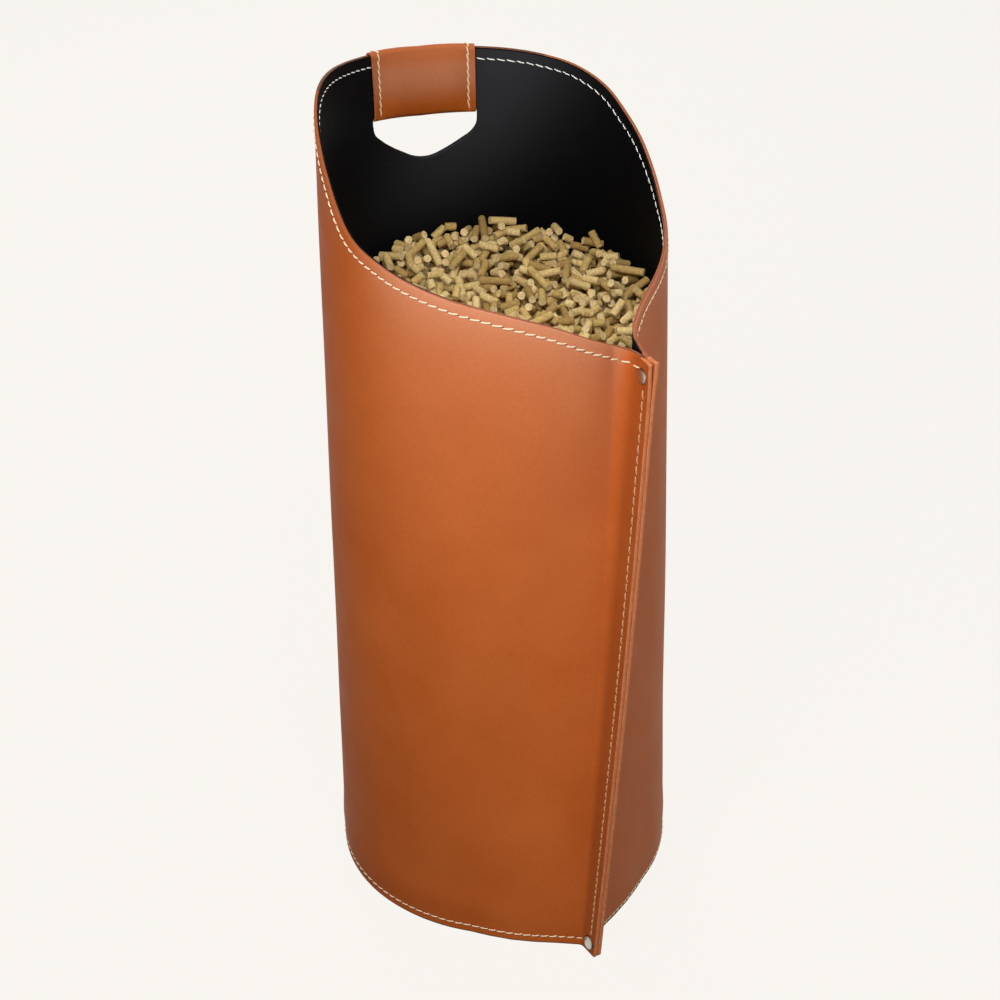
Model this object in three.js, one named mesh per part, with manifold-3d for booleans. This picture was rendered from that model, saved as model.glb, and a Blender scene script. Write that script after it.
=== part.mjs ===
// A tall leather bag for wood pellets, for use beside a pellet stove.
// One wide sheet is bent into a tube. Its two upright edges turn outwards, face to face, and are
// sewn and riveted into a flat seam that stands out at the front and leans round to the right.
// The rim is high at the back, where a padded grip bridges a hand hole, and low at the seam.
// Sizes are in millimetres. X points right, Y points back, Z points up, and the bag stands on Z = 0.
// An angle round the bag counts from straight ahead (-Y) towards the right (+X).

import * as THREE from 'three';
import { mergeVertices } from 'three/addons/utils/BufferGeometryUtils.js';
import Module from 'manifold-3d';

const wasm = await Module();
wasm.setup();

const { degToRad, lerp, clamp } = THREE.MathUtils;

// The tube
const bodyRadius = 125;
const outerLeatherThickness = 2;
const liningThickness = 1;
const glueGap = 0.3;
const wallThickness = outerLeatherThickness + glueGap + liningThickness;

// The seam: where the wall folds out, how far the flat seam stands out, and how it leans
const seamCornerHeight = 519;
const foldStandoutBottom = 27.5;
const foldStandoutTop = 2.5;
const foldAngleBottom = degToRad(23.6);
const foldAngleTop = degToRad(48.7);
const seamFacing = degToRad(31);
const seamWidthBottom = 16.5;
const seamWidthTop = 29.5;
const seamBow = 3;
const foldRadiusBottom = 6;
const leftFoldRadiusTop = 12;
const rightFoldRadiusTop = 6;
const seamFaceGap = 0.3;
const halfSeam = wallThickness + seamFaceGap / 2;

// The rim, from the middle of the grip to the seam's edge: each pair is a share of that way, and a
// share of the rise from the seam's corner to the rim's highest point
const rimPeakHeight = 670;
const leftRimShares = [
  [0, 0.835], [0.1, 0.915], [0.24, 0.998], [0.33, 0.95], [0.4, 0.795], [0.47, 0.59], [0.54, 0.517],
  [0.66, 0.426], [0.74, 0.358], [0.82, 0.248], [0.91, 0.067], [0.945, 0.004], [1, 0],
];
const rightRimShares = [
  [0, 0.835], [0.11, 0.803], [0.26, 0.771], [0.33, 0.745], [0.4, 0.685], [0.454, 0.599], [0.509, 0.498],
  [0.563, 0.392], [0.62, 0.298], [0.7, 0.262], [0.82, 0.214], [0.88, 0.17], [0.915, 0.105],
  [0.935, 0.02], [1, 0],
];

// The grip and the hand hole below it
const gripAngle = degToRad(205);
const gripWidth = 85;
const gripBarHeight = 53;
const gripLeatherThickness = 1.5;
const gripFit = 0.5;
const padThickness = 2.5;
const padEdgeThickness = 0.4;
const padEndInset = 9;
const padTopInset = 4;
const handHoleWidth = 85;
const handHoleDrop = 42;
const handHoleSideDrop = 13.5;
const handHolePointReach = 16;
const handHoleCornerReach = 7;

// Thread and rivets
const threadRadius = 0.5;
const threadClearance = 0.3;
const rimStitchInset = 9;
const rimThreadGripGap = 2;
const baseStitchHeight = 6.5;
const seamStitchInset = 6;
const gripStitchInset = 5.5;
const rivetCapRadius = 6;
const rivetCapHeight = 2;
const rivetRimHeight = 0.7;
const rivetTubeRadius = 1.9;
const rivetTubeBore = 1.3;
const rivetPinRadius = 1;
const rivetClearance = 0.3;
const topRivetInset = 8;
const topRivetDrop = 13.5;
const bottomRivetInset = 7.2;
const bottomRivetHeight = 8;

// The floor of the bag, and the pellets on it
const baseLeatherThickness = 2;
const baseSkirtThickness = 1.5;
const baseSkirtHeight = 12;
const baseSkirtFootGap = 0.5;
const baseBoardThickness = 12;
const baseFit = 0.5;
const baseTipRadius = 5;
const layGap = 0.3;
const pelletDrop = 35;
const pelletLevel = seamCornerHeight - pelletDrop;
const pelletCrown = 5;
const loadFit = 0.8;
const loadTipRadius = 8;
const pelletRadius = 3;
const pelletShortest = 11;
const pelletLongest = 18;
const pelletRise = 1;
const pelletTilt = degToRad(12);
const pelletWallGap = 2;
const pelletCount = 110;

// How finely curves are divided
const leftArcSteps = 28;
const rightArcSteps = 21;
const flankSteps = 2;
const foldSteps = 5;
const wallRows = 8;
const gripSteps = 10;
const gripThreadSteps = 44;
const holeCurveSteps = 5;
const padRows = 2;
const loadRows = 6;
const loadRings = 3;
const tipSteps = 4;
const threadSides = 6;
const pelletSides = 6;
const rivetSides = 14;
const rivetDomeSteps = 3;
const cutOverrun = 5;

const LEFT = -1;
const RIGHT = 1;
const goldenAngle = Math.PI * (3 - Math.sqrt(5));

// Directions and places in plan

function direction(angle) {
  return new THREE.Vector2(Math.sin(angle), -Math.cos(angle));
}

function angleOf(place) {
  return Math.atan2(place.x, -place.y);
}

function raised(place, height) {
  return new THREE.Vector3(place.x, place.y, height);
}

// The seam is flat and faces one way all along. It bows outwards a little in its own plane
const seamOutward = direction(seamFacing);
const seamAcross = direction(seamFacing + Math.PI / 2);
const foldBottom = direction(foldAngleBottom).multiplyScalar(bodyRadius + foldStandoutBottom);
const foldTop = direction(foldAngleTop).multiplyScalar(bodyRadius + foldStandoutTop);

// A height as a share of the seam's length. Above the seam the wall goes on straight up
function seamShare(height) {
  return clamp(height / seamCornerHeight, 0, 1);
}

// The middle of the fold, and of the seam's edge, at a height
function seamAt(height) {
  const rise = seamShare(height);
  const fold = foldBottom.clone().lerp(foldTop, rise);
  fold.addScaledVector(seamOutward, seamBow * Math.sin(Math.PI * rise));
  const edge = fold.clone().addScaledVector(seamOutward, lerp(seamWidthBottom, seamWidthTop, rise));
  return { fold, edge };
}

// One half of the wall at a height: a round back, a flat flank, and the angle where they meet
function flankAt(side, height) {
  const { fold, edge } = seamAt(height);
  const corner = fold.addScaledVector(seamAcross, side * halfSeam);
  const tangentAngle = angleOf(corner) + side * Math.acos(bodyRadius / corner.length());
  return { edge, corner, tangentAngle };
}

// The outer face of one half of the wall at a height, from the back to the seam's edge
function panelStations(side, height) {
  const { edge, corner, tangentAngle } = flankAt(side, height);
  const arcSteps = side === LEFT ? leftArcSteps : rightArcSteps;
  const arcEnd = side === LEFT ? tangentAngle + 2 * Math.PI : tangentAngle;
  const stations = [];
  for (let step = 0; step <= arcSteps; step += 1) {
    const normal = direction(lerp(gripAngle, arcEnd, step / arcSteps));
    stations.push({ point: normal.clone().multiplyScalar(bodyRadius), normal });
  }

  const flankNormal = direction(tangentAngle);
  const flankStart = flankNormal.clone().multiplyScalar(bodyRadius);
  const flankWay = corner.clone().sub(flankStart).normalize();
  const seamNormalAngle = seamFacing + side * Math.PI / 2;
  const turn = seamNormalAngle - tangentAngle;
  const foldRadiusTop = side === LEFT ? leftFoldRadiusTop : rightFoldRadiusTop;
  const foldRadius = lerp(foldRadiusBottom, foldRadiusTop, seamShare(height));
  const foldInset = foldRadius * Math.tan(Math.abs(turn) / 2);
  const foldStart = corner.clone().addScaledVector(flankWay, -foldInset);
  for (let step = 1; step <= flankSteps; step += 1) {
    stations.push({ point: flankStart.clone().lerp(foldStart, step / flankSteps), normal: flankNormal });
  }

  const foldCentre = foldStart.clone().addScaledVector(flankNormal, foldRadius);
  for (let step = 1; step <= foldSteps; step += 1) {
    const normal = direction(tangentAngle + turn * step / foldSteps);
    stations.push({ point: foldCentre.clone().addScaledVector(normal, -foldRadius), normal });
  }

  const seamNormal = direction(seamNormalAngle);
  stations.push({ point: edge.addScaledVector(seamNormal, halfSeam), normal: seamNormal });
  return stations;
}

// A smooth curve through pairs of shares
function curveThrough(pairs, along) {
  const last = pairs.length - 1;
  const slopes = pairs.map((pair, index) => {
    const before = pairs[Math.max(index - 1, 0)];
    const after = pairs[Math.min(index + 1, last)];
    return (after[1] - before[1]) / (after[0] - before[0]);
  });
  let index = 0;
  while (index < last - 1 && along > pairs[index + 1][0]) {
    index += 1;
  }
  const span = pairs[index + 1][0] - pairs[index][0];
  const t = (along - pairs[index][0]) / span;
  const startWeight = (1 + 2 * t) * (1 - t) ** 2;
  const startSlope = t * (1 - t) ** 2 * span * slopes[index];
  const endSlope = t * t * (t - 1) * span * slopes[index + 1];
  return startWeight * pairs[index][1] + (1 - startWeight) * pairs[index + 1][1] + startSlope + endSlope;
}

// The rim's height at a share of the way from the grip to the seam's edge
function rimHeight(side, along) {
  const rimShares = side === LEFT ? leftRimShares : rightRimShares;
  return lerp(seamCornerHeight, rimPeakHeight, curveThrough(rimShares, along));
}

// The rim's height above each station of one half of the wall
function rimHeights(side) {
  const stations = panelStations(side, seamCornerHeight);
  const lengths = [0];
  for (let index = 1; index < stations.length; index += 1) {
    lengths.push(lengths[index - 1] + stations[index].point.distanceTo(stations[index - 1].point));
  }
  const whole = lengths[lengths.length - 1];
  return { whole, heights: lengths.map((length) => rimHeight(side, length / whole)) };
}

const leftRim = rimHeights(LEFT);
const rightRim = rimHeights(RIGHT);

// A point on the wall over one station, a depth inwards from its outer face
function wallPoint(side, index, height, depth) {
  const station = panelStations(side, height)[index];
  return raised(station.point.clone().addScaledVector(station.normal, -depth), height);
}

// Every column of the wall from the left edge of the seam, round the back, to the right edge
const wallColumns = [
  ...leftRim.heights.map((top, index) => ({ side: LEFT, index, top })).reverse(),
  ...rightRim.heights.map((top, index) => ({ side: RIGHT, index, top })).slice(1),
];

// Closed bodies from grids of points

function bodyFrom(points, faces) {
  const geometry = new THREE.BufferGeometry().setFromPoints(points);
  geometry.setIndex(faces.flat());
  geometry.computeVertexNormals();
  return geometry;
}

// A sheet between two grids of points, closed along its four sides. The rows run upwards, and the
// columns run clockwise as seen from above
function sheetBetween(outerGrid, innerGrid) {
  const rows = outerGrid.length;
  const columns = outerGrid[0].length;
  const points = [...outerGrid.flat(), ...innerGrid.flat()];
  const outer = (row, column) => row * columns + column;
  const inner = (row, column) => rows * columns + outer(row, column);
  const faces = [];
  const quad = (a, b, c, d) => faces.push([a, c, b], [a, d, c]);
  for (let row = 0; row < rows - 1; row += 1) {
    for (let column = 0; column < columns - 1; column += 1) {
      quad(outer(row, column), outer(row, column + 1), outer(row + 1, column + 1), outer(row + 1, column));
      quad(inner(row, column), inner(row + 1, column), inner(row + 1, column + 1), inner(row, column + 1));
    }
    const end = columns - 1;
    quad(outer(row, 0), outer(row + 1, 0), inner(row + 1, 0), inner(row, 0));
    quad(outer(row, end), inner(row, end), inner(row + 1, end), outer(row + 1, end));
  }
  for (let column = 0; column < columns - 1; column += 1) {
    const top = rows - 1;
    quad(outer(0, column), inner(0, column), inner(0, column + 1), outer(0, column + 1));
    quad(outer(top, column), outer(top, column + 1), inner(top, column + 1), inner(top, column));
  }
  return bodyFrom(points, faces);
}

// A sleeve through matching outer and inner loops, open at both ends
function sleeveThrough(outerLoops, innerLoops) {
  const stations = outerLoops.length;
  const around = outerLoops[0].length;
  const points = [...outerLoops.flat(), ...innerLoops.flat()];
  const outer = (station, step) => station * around + step % around;
  const inner = (station, step) => stations * around + outer(station, step);
  const faces = [];
  const quad = (a, b, c, d) => faces.push([a, c, b], [a, d, c]);
  for (let step = 0; step < around; step += 1) {
    for (let at = 0; at < stations - 1; at += 1) {
      quad(outer(at, step), outer(at, step + 1), outer(at + 1, step + 1), outer(at + 1, step));
      quad(inner(at, step), inner(at + 1, step), inner(at + 1, step + 1), inner(at, step + 1));
    }
    const end = stations - 1;
    quad(outer(0, step), inner(0, step), inner(0, step + 1), outer(0, step + 1));
    quad(outer(end, step), outer(end, step + 1), inner(end, step + 1), inner(end, step));
  }
  return bodyFrom(points, faces);
}

// A solid through rings of points from the bottom up, closed by a fan at each end
function solidThrough(rings, bottomCentre, topCentre) {
  const around = rings[0].length;
  const points = [...rings.flat(), bottomCentre, topCentre];
  const at = (ring, step) => ring * around + step % around;
  const bottom = rings.length * around;
  const top = bottom + 1;
  const last = rings.length - 1;
  const faces = [];
  for (let step = 0; step < around; step += 1) {
    faces.push([bottom, at(0, step + 1), at(0, step)]);
    faces.push([top, at(last, step), at(last, step + 1)]);
    for (let ring = 0; ring < last; ring += 1) {
      faces.push([at(ring, step), at(ring, step + 1), at(ring + 1, step + 1)]);
      faces.push([at(ring, step), at(ring + 1, step + 1), at(ring + 1, step)]);
    }
  }
  return bodyFrom(points, faces);
}

// Joins and cuts

function toSolid(geometry) {
  const bare = geometry.clone();
  bare.deleteAttribute('normal');
  bare.deleteAttribute('uv');
  const merged = mergeVertices(bare);
  return new wasm.Manifold(new wasm.Mesh({
    numProp: 3,
    vertProperties: new Float32Array(merged.attributes.position.array),
    triVerts: new Uint32Array(merged.index.array),
  }));
}

function toGeometry(solid) {
  const mesh = solid.getMesh();
  const geometry = new THREE.BufferGeometry();
  geometry.setAttribute('position', new THREE.BufferAttribute(new Float32Array(mesh.vertProperties), 3));
  geometry.setIndex(new THREE.BufferAttribute(new Uint32Array(mesh.triVerts), 1));
  geometry.computeVertexNormals();
  return geometry;
}

function cutBy(geometry, cutters) {
  return toGeometry(cutters.reduce((solid, cutter) => solid.subtract(toSolid(cutter)), toSolid(geometry)));
}

// The wall's two layers

function wallSheet(outerDepth, thickness) {
  const grid = (depth) => {
    const rows = [];
    for (let row = 0; row <= wallRows; row += 1) {
      rows.push(wallColumns.map(({ side, index, top }) => wallPoint(side, index, top * row / wallRows, depth)));
    }
    return rows;
  };
  return sheetBetween(grid(outerDepth), grid(outerDepth + thickness));
}

// The bar of the grip is the strip of wall between the hand hole and the rim

const gripHalfAngle = gripWidth / 2 / bodyRadius;

function gripRimHeight(angle) {
  const side = angle > gripAngle ? LEFT : RIGHT;
  const whole = side === LEFT ? leftRim.whole : rightRim.whole;
  return rimHeight(side, Math.abs(angle - gripAngle) * bodyRadius / whole);
}

function gripBarFootHeight(angle) {
  return gripRimHeight(angle) - gripBarHeight;
}

const gripBarFoot = gripBarFootHeight(gripAngle);

// Carries an outline round a corner in a curve that starts and ends a reach away from it
function turnCorner(shape, before, corner, after, reach) {
  const start = corner.clone().addScaledVector(before.clone().sub(corner).normalize(), reach);
  const end = corner.clone().addScaledVector(after.clone().sub(corner).normalize(), reach);
  shape.lineTo(start.x, start.y);
  shape.quadraticCurveTo(corner.x, corner.y, end.x, end.y);
}

// The hand hole's outline, seen square on. Its top follows the foot of the bar, its sides hang
// straight down, and below them it comes to a rounded point
function handHoleShape() {
  const halfAngle = Math.asin(handHoleWidth / 2 / bodyRadius);
  const top = [];
  for (let step = 0; step <= gripSteps; step += 1) {
    const turn = lerp(-halfAngle, halfAngle, step / gripSteps);
    const foot = gripBarFootHeight(gripAngle + turn) - gripBarFoot;
    top.push(new THREE.Vector2(bodyRadius * Math.sin(turn), foot));
  }
  const [first, last] = [top[0], top[gripSteps]];
  const firstCorner = new THREE.Vector2(first.x, first.y - handHoleSideDrop);
  const lastCorner = new THREE.Vector2(last.x, last.y - handHoleSideDrop);
  const point = new THREE.Vector2(0, -handHoleDrop);
  const shape = new THREE.Shape(top);
  turnCorner(shape, last, lastCorner, point, handHoleCornerReach);
  turnCorner(shape, lastCorner, point, firstCorner, handHolePointReach);
  turnCorner(shape, point, firstCorner, first, handHoleCornerReach);
  return shape;
}

// The hole is cut straight through the back wall along its middle
function handHoleCutter() {
  const depth = wallThickness + bodyRadius * (1 - Math.cos(gripHalfAngle)) + 2 * cutOverrun;
  const cutter = new THREE.ExtrudeGeometry(handHoleShape(), {
    depth,
    bevelEnabled: false,
    curveSegments: holeCurveSteps,
  });
  const out = direction(gripAngle);
  const frame = new THREE.Matrix4().makeBasis(
    raised(direction(gripAngle + Math.PI / 2), 0),
    new THREE.Vector3(0, 0, 1),
    raised(out, 0),
  );
  cutter.applyMatrix4(frame);
  const start = bodyRadius + cutOverrun - depth;
  cutter.translate(out.x * start, out.y * start, gripBarFoot);
  return cutter;
}

// Rivets pass square through the seam, which leans

function onSeamPlane(inset, height) {
  return raised(seamAt(height).edge.addScaledVector(seamOutward, -inset), height);
}

const seamRise = onSeamPlane(0, seamCornerHeight).sub(onSeamPlane(0, 0));
const seamSquare = seamRise.cross(raised(seamOutward, 0)).normalize();
const topRivet = onSeamPlane(topRivetInset, seamCornerHeight - topRivetDrop);
const bottomRivet = onSeamPlane(bottomRivetInset, bottomRivetHeight);

// Stands a turned piece, made along Y, on the seam's middle plane with its head to one side
function onSeam(geometry, rivet, side) {
  const out = seamSquare.clone().multiplyScalar(side);
  const placed = geometry.clone();
  placed.applyQuaternion(new THREE.Quaternion().setFromUnitVectors(new THREE.Vector3(0, 1, 0), out));
  placed.translate(...rivet);
  return placed;
}

function rivetHole(rivet) {
  const length = 2 * (halfSeam + cutOverrun);
  const radius = rivetTubeRadius + rivetClearance;
  return onSeam(new THREE.CylinderGeometry(radius, radius, length, rivetSides), rivet, RIGHT);
}

// A rivet's profile is listed from its head's centre outwards, then back to the axis along the stem
function turned(profile) {
  return new THREE.LatheGeometry(profile.map(([radius, along]) => new THREE.Vector2(radius, along)), rivetSides);
}

const rivetSeat = halfSeam + rivetClearance;
const rivetCapCurve = [[rivetCapRadius, rivetSeat]];
for (let step = 0; step < rivetDomeSteps; step += 1) {
  const turn = Math.PI / 2 * step / rivetDomeSteps;
  const along = rivetSeat + lerp(rivetRimHeight, rivetCapHeight, Math.sin(turn));
  rivetCapCurve.push([rivetCapRadius * Math.cos(turn), along]);
}
rivetCapCurve.push([0, rivetSeat + rivetCapHeight]);

function rivetCap() {
  const tubeEnd = -rivetSeat + rivetClearance;
  return turned([
    [0, rivetSeat], [rivetTubeBore, rivetSeat], [rivetTubeBore, tubeEnd], [rivetTubeRadius, tubeEnd],
    [rivetTubeRadius, rivetSeat], ...rivetCapCurve,
  ]);
}

function rivetPost() {
  const pinEnd = -rivetSeat + rivetClearance;
  return turned([[0, pinEnd], [rivetPinRadius, pinEnd], [rivetPinRadius, rivetSeat], ...rivetCapCurve]);
}

// Thread lies along the leather as one slim tube through the points that it follows

function threadAlong(points, steps) {
  const section = new THREE.Shape();
  for (let side = 0; side < threadSides; side += 1) {
    const place = direction(2 * Math.PI * side / threadSides).multiplyScalar(threadRadius);
    if (side === 0) {
      section.moveTo(place.x, place.y);
    } else {
      section.lineTo(place.x, place.y);
    }
  }
  const path = new THREE.CatmullRomCurve3(points, false, 'centripetal');
  return new THREE.ExtrudeGeometry(section, { steps, extrudePath: path, bevelEnabled: false });
}

const threadStandoff = threadClearance + threadRadius;

// The line of stitches below the rim on one half of the wall, outside or inside. It starts a
// little way from the grip's sleeve
function rimThread(side, depth) {
  const { heights } = side === LEFT ? leftRim : rightRim;
  const arcSteps = side === LEFT ? leftArcSteps : rightArcSteps;
  const sweep = side === LEFT
    ? flankAt(side, rimPeakHeight).tangentAngle + 2 * Math.PI - gripAngle
    : gripAngle - flankAt(side, rimPeakHeight).tangentAngle;
  const startTurn = gripHalfAngle + rimThreadGripGap / bodyRadius;
  const startAngle = gripAngle - side * startTurn;
  const start = direction(startAngle).multiplyScalar(bodyRadius - depth);
  const points = [raised(start, gripRimHeight(startAngle) - rimStitchInset)];
  const next = Math.round(startTurn / sweep * arcSteps) + 1;
  const last = arcSteps + flankSteps;
  for (let index = next; index <= last; index += 1) {
    points.push(wallPoint(side, index, heights[index] - rimStitchInset, depth));
  }
  return threadAlong(points, points.length - 1);
}

// The line of stitches down one face of the seam, between its rivets
function seamThread(side) {
  const top = seamCornerHeight - topRivetDrop - rivetCapRadius - threadStandoff;
  const bottom = bottomRivetHeight + rivetCapRadius + threadStandoff;
  const steps = wallRows + 1;
  const points = [];
  for (let step = 0; step <= steps; step += 1) {
    const place = onSeamPlane(seamStitchInset, lerp(bottom, top, step / steps));
    points.push(place.addScaledVector(raised(seamAcross, 0), side * (halfSeam + threadStandoff)));
  }
  return threadAlong(points, steps);
}

// The line of stitches round the foot of the wall, from one side of the seam to the other
function baseThread() {
  const points = [];
  wallColumns.forEach(({ side, index }) => {
    const arcSteps = side === LEFT ? leftArcSteps : rightArcSteps;
    if (index <= arcSteps + flankSteps) {
      points.push(wallPoint(side, index, baseStitchHeight, -threadStandoff));
    }
  });
  return threadAlong(points, points.length - 1);
}

// The grip's leather sleeve and the pads under it

// How far the pads lift the sleeve, at a share of the way along the grip from -1 to 1
function padLift(along) {
  const padHalf = 1 - padEndInset / (gripWidth / 2);
  const inPad = clamp(Math.abs(along) / padHalf, 0, 1);
  return lerp(padThickness, padEdgeThickness, inPad ** 4);
}

function gripLoop(along, inward) {
  const angle = gripAngle + along * gripHalfAngle;
  const out = direction(angle);
  const lift = padLift(along) + 2 * gripFit + gripLeatherThickness - inward;
  const edgeLift = gripFit + gripLeatherThickness - inward;
  const nearRadius = bodyRadius - wallThickness - lift;
  const farRadius = bodyRadius + lift;
  const foot = gripBarFootHeight(angle) - edgeLift;
  const head = gripRimHeight(angle) + edgeLift;
  const outline = [
    [nearRadius + lift, foot], [farRadius - lift, foot], [farRadius, foot + lift], [farRadius, head - lift],
    [farRadius - lift, head], [nearRadius + lift, head], [nearRadius, head - lift], [nearRadius, foot + lift],
  ];
  return outline.map(([radius, height]) => raised(out.clone().multiplyScalar(radius), height));
}

function gripSleeve() {
  const outerLoops = [];
  const innerLoops = [];
  for (let step = 0; step <= gripSteps; step += 1) {
    const along = lerp(-1, 1, step / gripSteps);
    outerLoops.push(gripLoop(along, 0));
    innerLoops.push(gripLoop(along, gripLeatherThickness));
  }
  return sleeveThrough(outerLoops, innerLoops);
}

// A pad on the inner face of the bar, or on its outer face
function gripPad(inside) {
  const reach = 1 - padEndInset / (gripWidth / 2);
  const faceGrid = (lifted) => {
    const rows = [];
    for (let level = 0; level <= padRows; level += 1) {
      const row = [];
      for (let step = 0; step <= gripSteps; step += 1) {
        const along = lerp(-reach, reach, step / gripSteps);
        const angle = gripAngle + along * gripHalfAngle;
        const lift = gripFit + (lifted ? padLift(along) : 0);
        const radius = inside ? bodyRadius - wallThickness - lift : bodyRadius + lift;
        const foot = gripBarFootHeight(angle) + padTopInset;
        const head = gripRimHeight(angle) - padTopInset;
        row.push(raised(direction(angle).multiplyScalar(radius), lerp(foot, head, level / padRows)));
      }
      rows.push(row);
    }
    return rows;
  };
  return inside ? sheetBetween(faceGrid(true), faceGrid(false)) : sheetBetween(faceGrid(false), faceGrid(true));
}

// The stitches near one end of the grip run up its inner face, over the rim and down outside
function gripThread(side) {
  const angle = gripAngle - side * (gripWidth / 2 - gripStitchInset) / bodyRadius;
  const along = (angle - gripAngle) / gripHalfAngle;
  const lift = padLift(along) + 2 * gripFit + gripLeatherThickness;
  const out = direction(angle);
  const near = bodyRadius - wallThickness - lift - threadStandoff;
  const far = bodyRadius + lift + threadStandoff;
  const foot = gripBarFootHeight(angle) + lift;
  const head = gripRimHeight(angle) + gripFit + gripLeatherThickness + threadStandoff;
  const middle = (foot + head) / 2;
  const bevel = lift + threadStandoff * (2 - Math.SQRT2);
  const route = [
    [near, foot], [near, middle], [near, head - bevel], [near + bevel, head],
    [far - bevel, head], [far, head - bevel], [far, middle], [far, foot],
  ];
  const points = route.map(([radius, height]) => raised(out.clone().multiplyScalar(radius), height));
  return threadAlong(points, gripThreadSteps);
}

// What lies inside the wall

// The room inside the wall at a height: a round back and a small round tip towards the seam
function roomOutline(height, fit, tipRadius) {
  const left = flankAt(LEFT, height).tangentAngle;
  const right = flankAt(RIGHT, height).tangentAngle;
  const backRadius = bodyRadius - wallThickness - fit;
  const tipReach = (backRadius - tipRadius) / Math.cos((right - left) / 2);
  const tip = direction((left + right) / 2).multiplyScalar(tipReach);
  const backSteps = leftArcSteps + rightArcSteps;
  const outline = [];
  for (let step = 0; step <= backSteps; step += 1) {
    outline.push(direction(lerp(right, left + 2 * Math.PI, step / backSteps)).multiplyScalar(backRadius));
  }
  for (let step = 0; step <= tipSteps; step += 1) {
    outline.push(tip.clone().addScaledVector(direction(lerp(left, right, step / tipSteps)), tipRadius));
  }
  return outline;
}

function slab(outline, foot, thickness) {
  const geometry = new THREE.ExtrudeGeometry(new THREE.Shape(outline), { depth: thickness, bevelEnabled: false });
  geometry.translate(0, 0, foot);
  return geometry;
}

// The leather floor, with a skirt turned down inside the wall's foot
function baseLeather() {
  const whole = slab(roomOutline(baseSkirtHeight, baseFit, baseTipRadius), baseSkirtFootGap,
    baseSkirtHeight + baseLeatherThickness - baseSkirtFootGap);
  const hollow = slab(
    roomOutline(baseSkirtHeight, baseFit + baseSkirtThickness, baseTipRadius - baseSkirtThickness),
    baseSkirtFootGap - cutOverrun,
    baseSkirtHeight - baseSkirtFootGap + cutOverrun,
  );
  return cutBy(whole, [hollow]);
}

const boardFoot = baseSkirtHeight + baseLeatherThickness + layGap;
const boardTop = boardFoot + baseBoardThickness;

function baseBoard() {
  return slab(roomOutline(boardTop, baseFit, baseTipRadius), boardFoot, baseBoardThickness);
}

// The heap's surface, highest in the middle
function heapHeight(share) {
  return pelletLevel + pelletCrown * (1 - share * share);
}

// One pellet half sunk in the heap. Its place goes on from the last by the golden angle, so that the
// pellets spread evenly. It points by the square of its number, so that neighbours don't line up
function surfacePellet(index) {
  const spread = index * goldenAngle % 1;
  const length = lerp(pelletShortest, pelletLongest, spread);
  const reach = bodyRadius - wallThickness - loadFit - pelletWallGap - pelletLongest / 2;
  const share = Math.sqrt((index + 1) / pelletCount);
  const place = direction(index * goldenAngle).multiplyScalar(reach * share);
  const pellet = new THREE.CylinderGeometry(pelletRadius, pelletRadius, length, pelletSides);
  pellet.rotateX(lerp(-pelletTilt, pelletTilt, spread));
  pellet.rotateZ(index ** 2);
  pellet.translate(place.x, place.y, heapHeight(share) + pelletRise);
  return pellet;
}

function pelletLoad() {
  const foot = boardTop + layGap;
  const rings = [];
  for (let row = 0; row <= loadRows; row += 1) {
    const height = lerp(foot, pelletLevel, row / loadRows);
    rings.push(roomOutline(height, loadFit, loadTipRadius).map((place) => raised(place, height)));
  }
  const brim = roomOutline(pelletLevel, loadFit, loadTipRadius);
  for (let ring = 1; ring < loadRings; ring += 1) {
    const share = 1 - ring / loadRings;
    rings.push(brim.map((place) => raised(place.clone().multiplyScalar(share), heapHeight(share))));
  }
  let load = toSolid(solidThrough(rings, new THREE.Vector3(0, 0, foot), new THREE.Vector3(0, 0, heapHeight(0))));
  for (let index = 0; index < pelletCount; index += 1) {
    load = load.add(toSolid(surfacePellet(index)));
  }
  return toGeometry(load);
}

// Finishes

const finishes = {
  tanLeather: { color: 0xbc5f28, roughness: 0.45, metalness: 0 },
  gripLeather: { color: 0xa8623a, roughness: 0.45, metalness: 0 },
  blackLining: { color: 0x1c1b1c, roughness: 0.55, metalness: 0 },
  foam: { color: 0x3c3a38, roughness: 0.95, metalness: 0 },
  fibreboard: { color: 0x9a7a52, roughness: 0.8, metalness: 0 },
  creamThread: { color: 0xe6cfa6, roughness: 0.7, metalness: 0 },
  polishedSteel: { color: 0xc9c6c0, roughness: 0.2, metalness: 1 },
  woodPellets: { color: 0xc2a970, roughness: 0.85, metalness: 0 },
};

const bag = new THREE.Group();

function addPiece(name, geometry, finish) {
  const mesh = new THREE.Mesh(geometry, new THREE.MeshStandardMaterial(finish));
  mesh.name = name;
  bag.add(mesh);
}

const wallCutters = [handHoleCutter(), rivetHole(topRivet), rivetHole(bottomRivet)];
addPiece('outer_leather', cutBy(wallSheet(0, outerLeatherThickness), wallCutters), finishes.tanLeather);
addPiece(
  'inner_lining',
  cutBy(wallSheet(outerLeatherThickness + glueGap, liningThickness), wallCutters),
  finishes.blackLining,
);

addPiece('grip_wrap', gripSleeve(), finishes.gripLeather);
addPiece('grip_pad_inner', gripPad(true), finishes.foam);
addPiece('grip_pad_outer', gripPad(false), finishes.foam);

addPiece('base_leather', baseLeather(), finishes.blackLining);
addPiece('base_board', baseBoard(), finishes.fibreboard);

addPiece('top_rivet_cap', onSeam(rivetCap(), topRivet, LEFT), finishes.polishedSteel);
addPiece('top_rivet_post', onSeam(rivetPost(), topRivet, RIGHT), finishes.polishedSteel);
addPiece('bottom_rivet_cap', onSeam(rivetCap(), bottomRivet, LEFT), finishes.polishedSteel);
addPiece('bottom_rivet_post', onSeam(rivetPost(), bottomRivet, RIGHT), finishes.polishedSteel);

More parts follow.
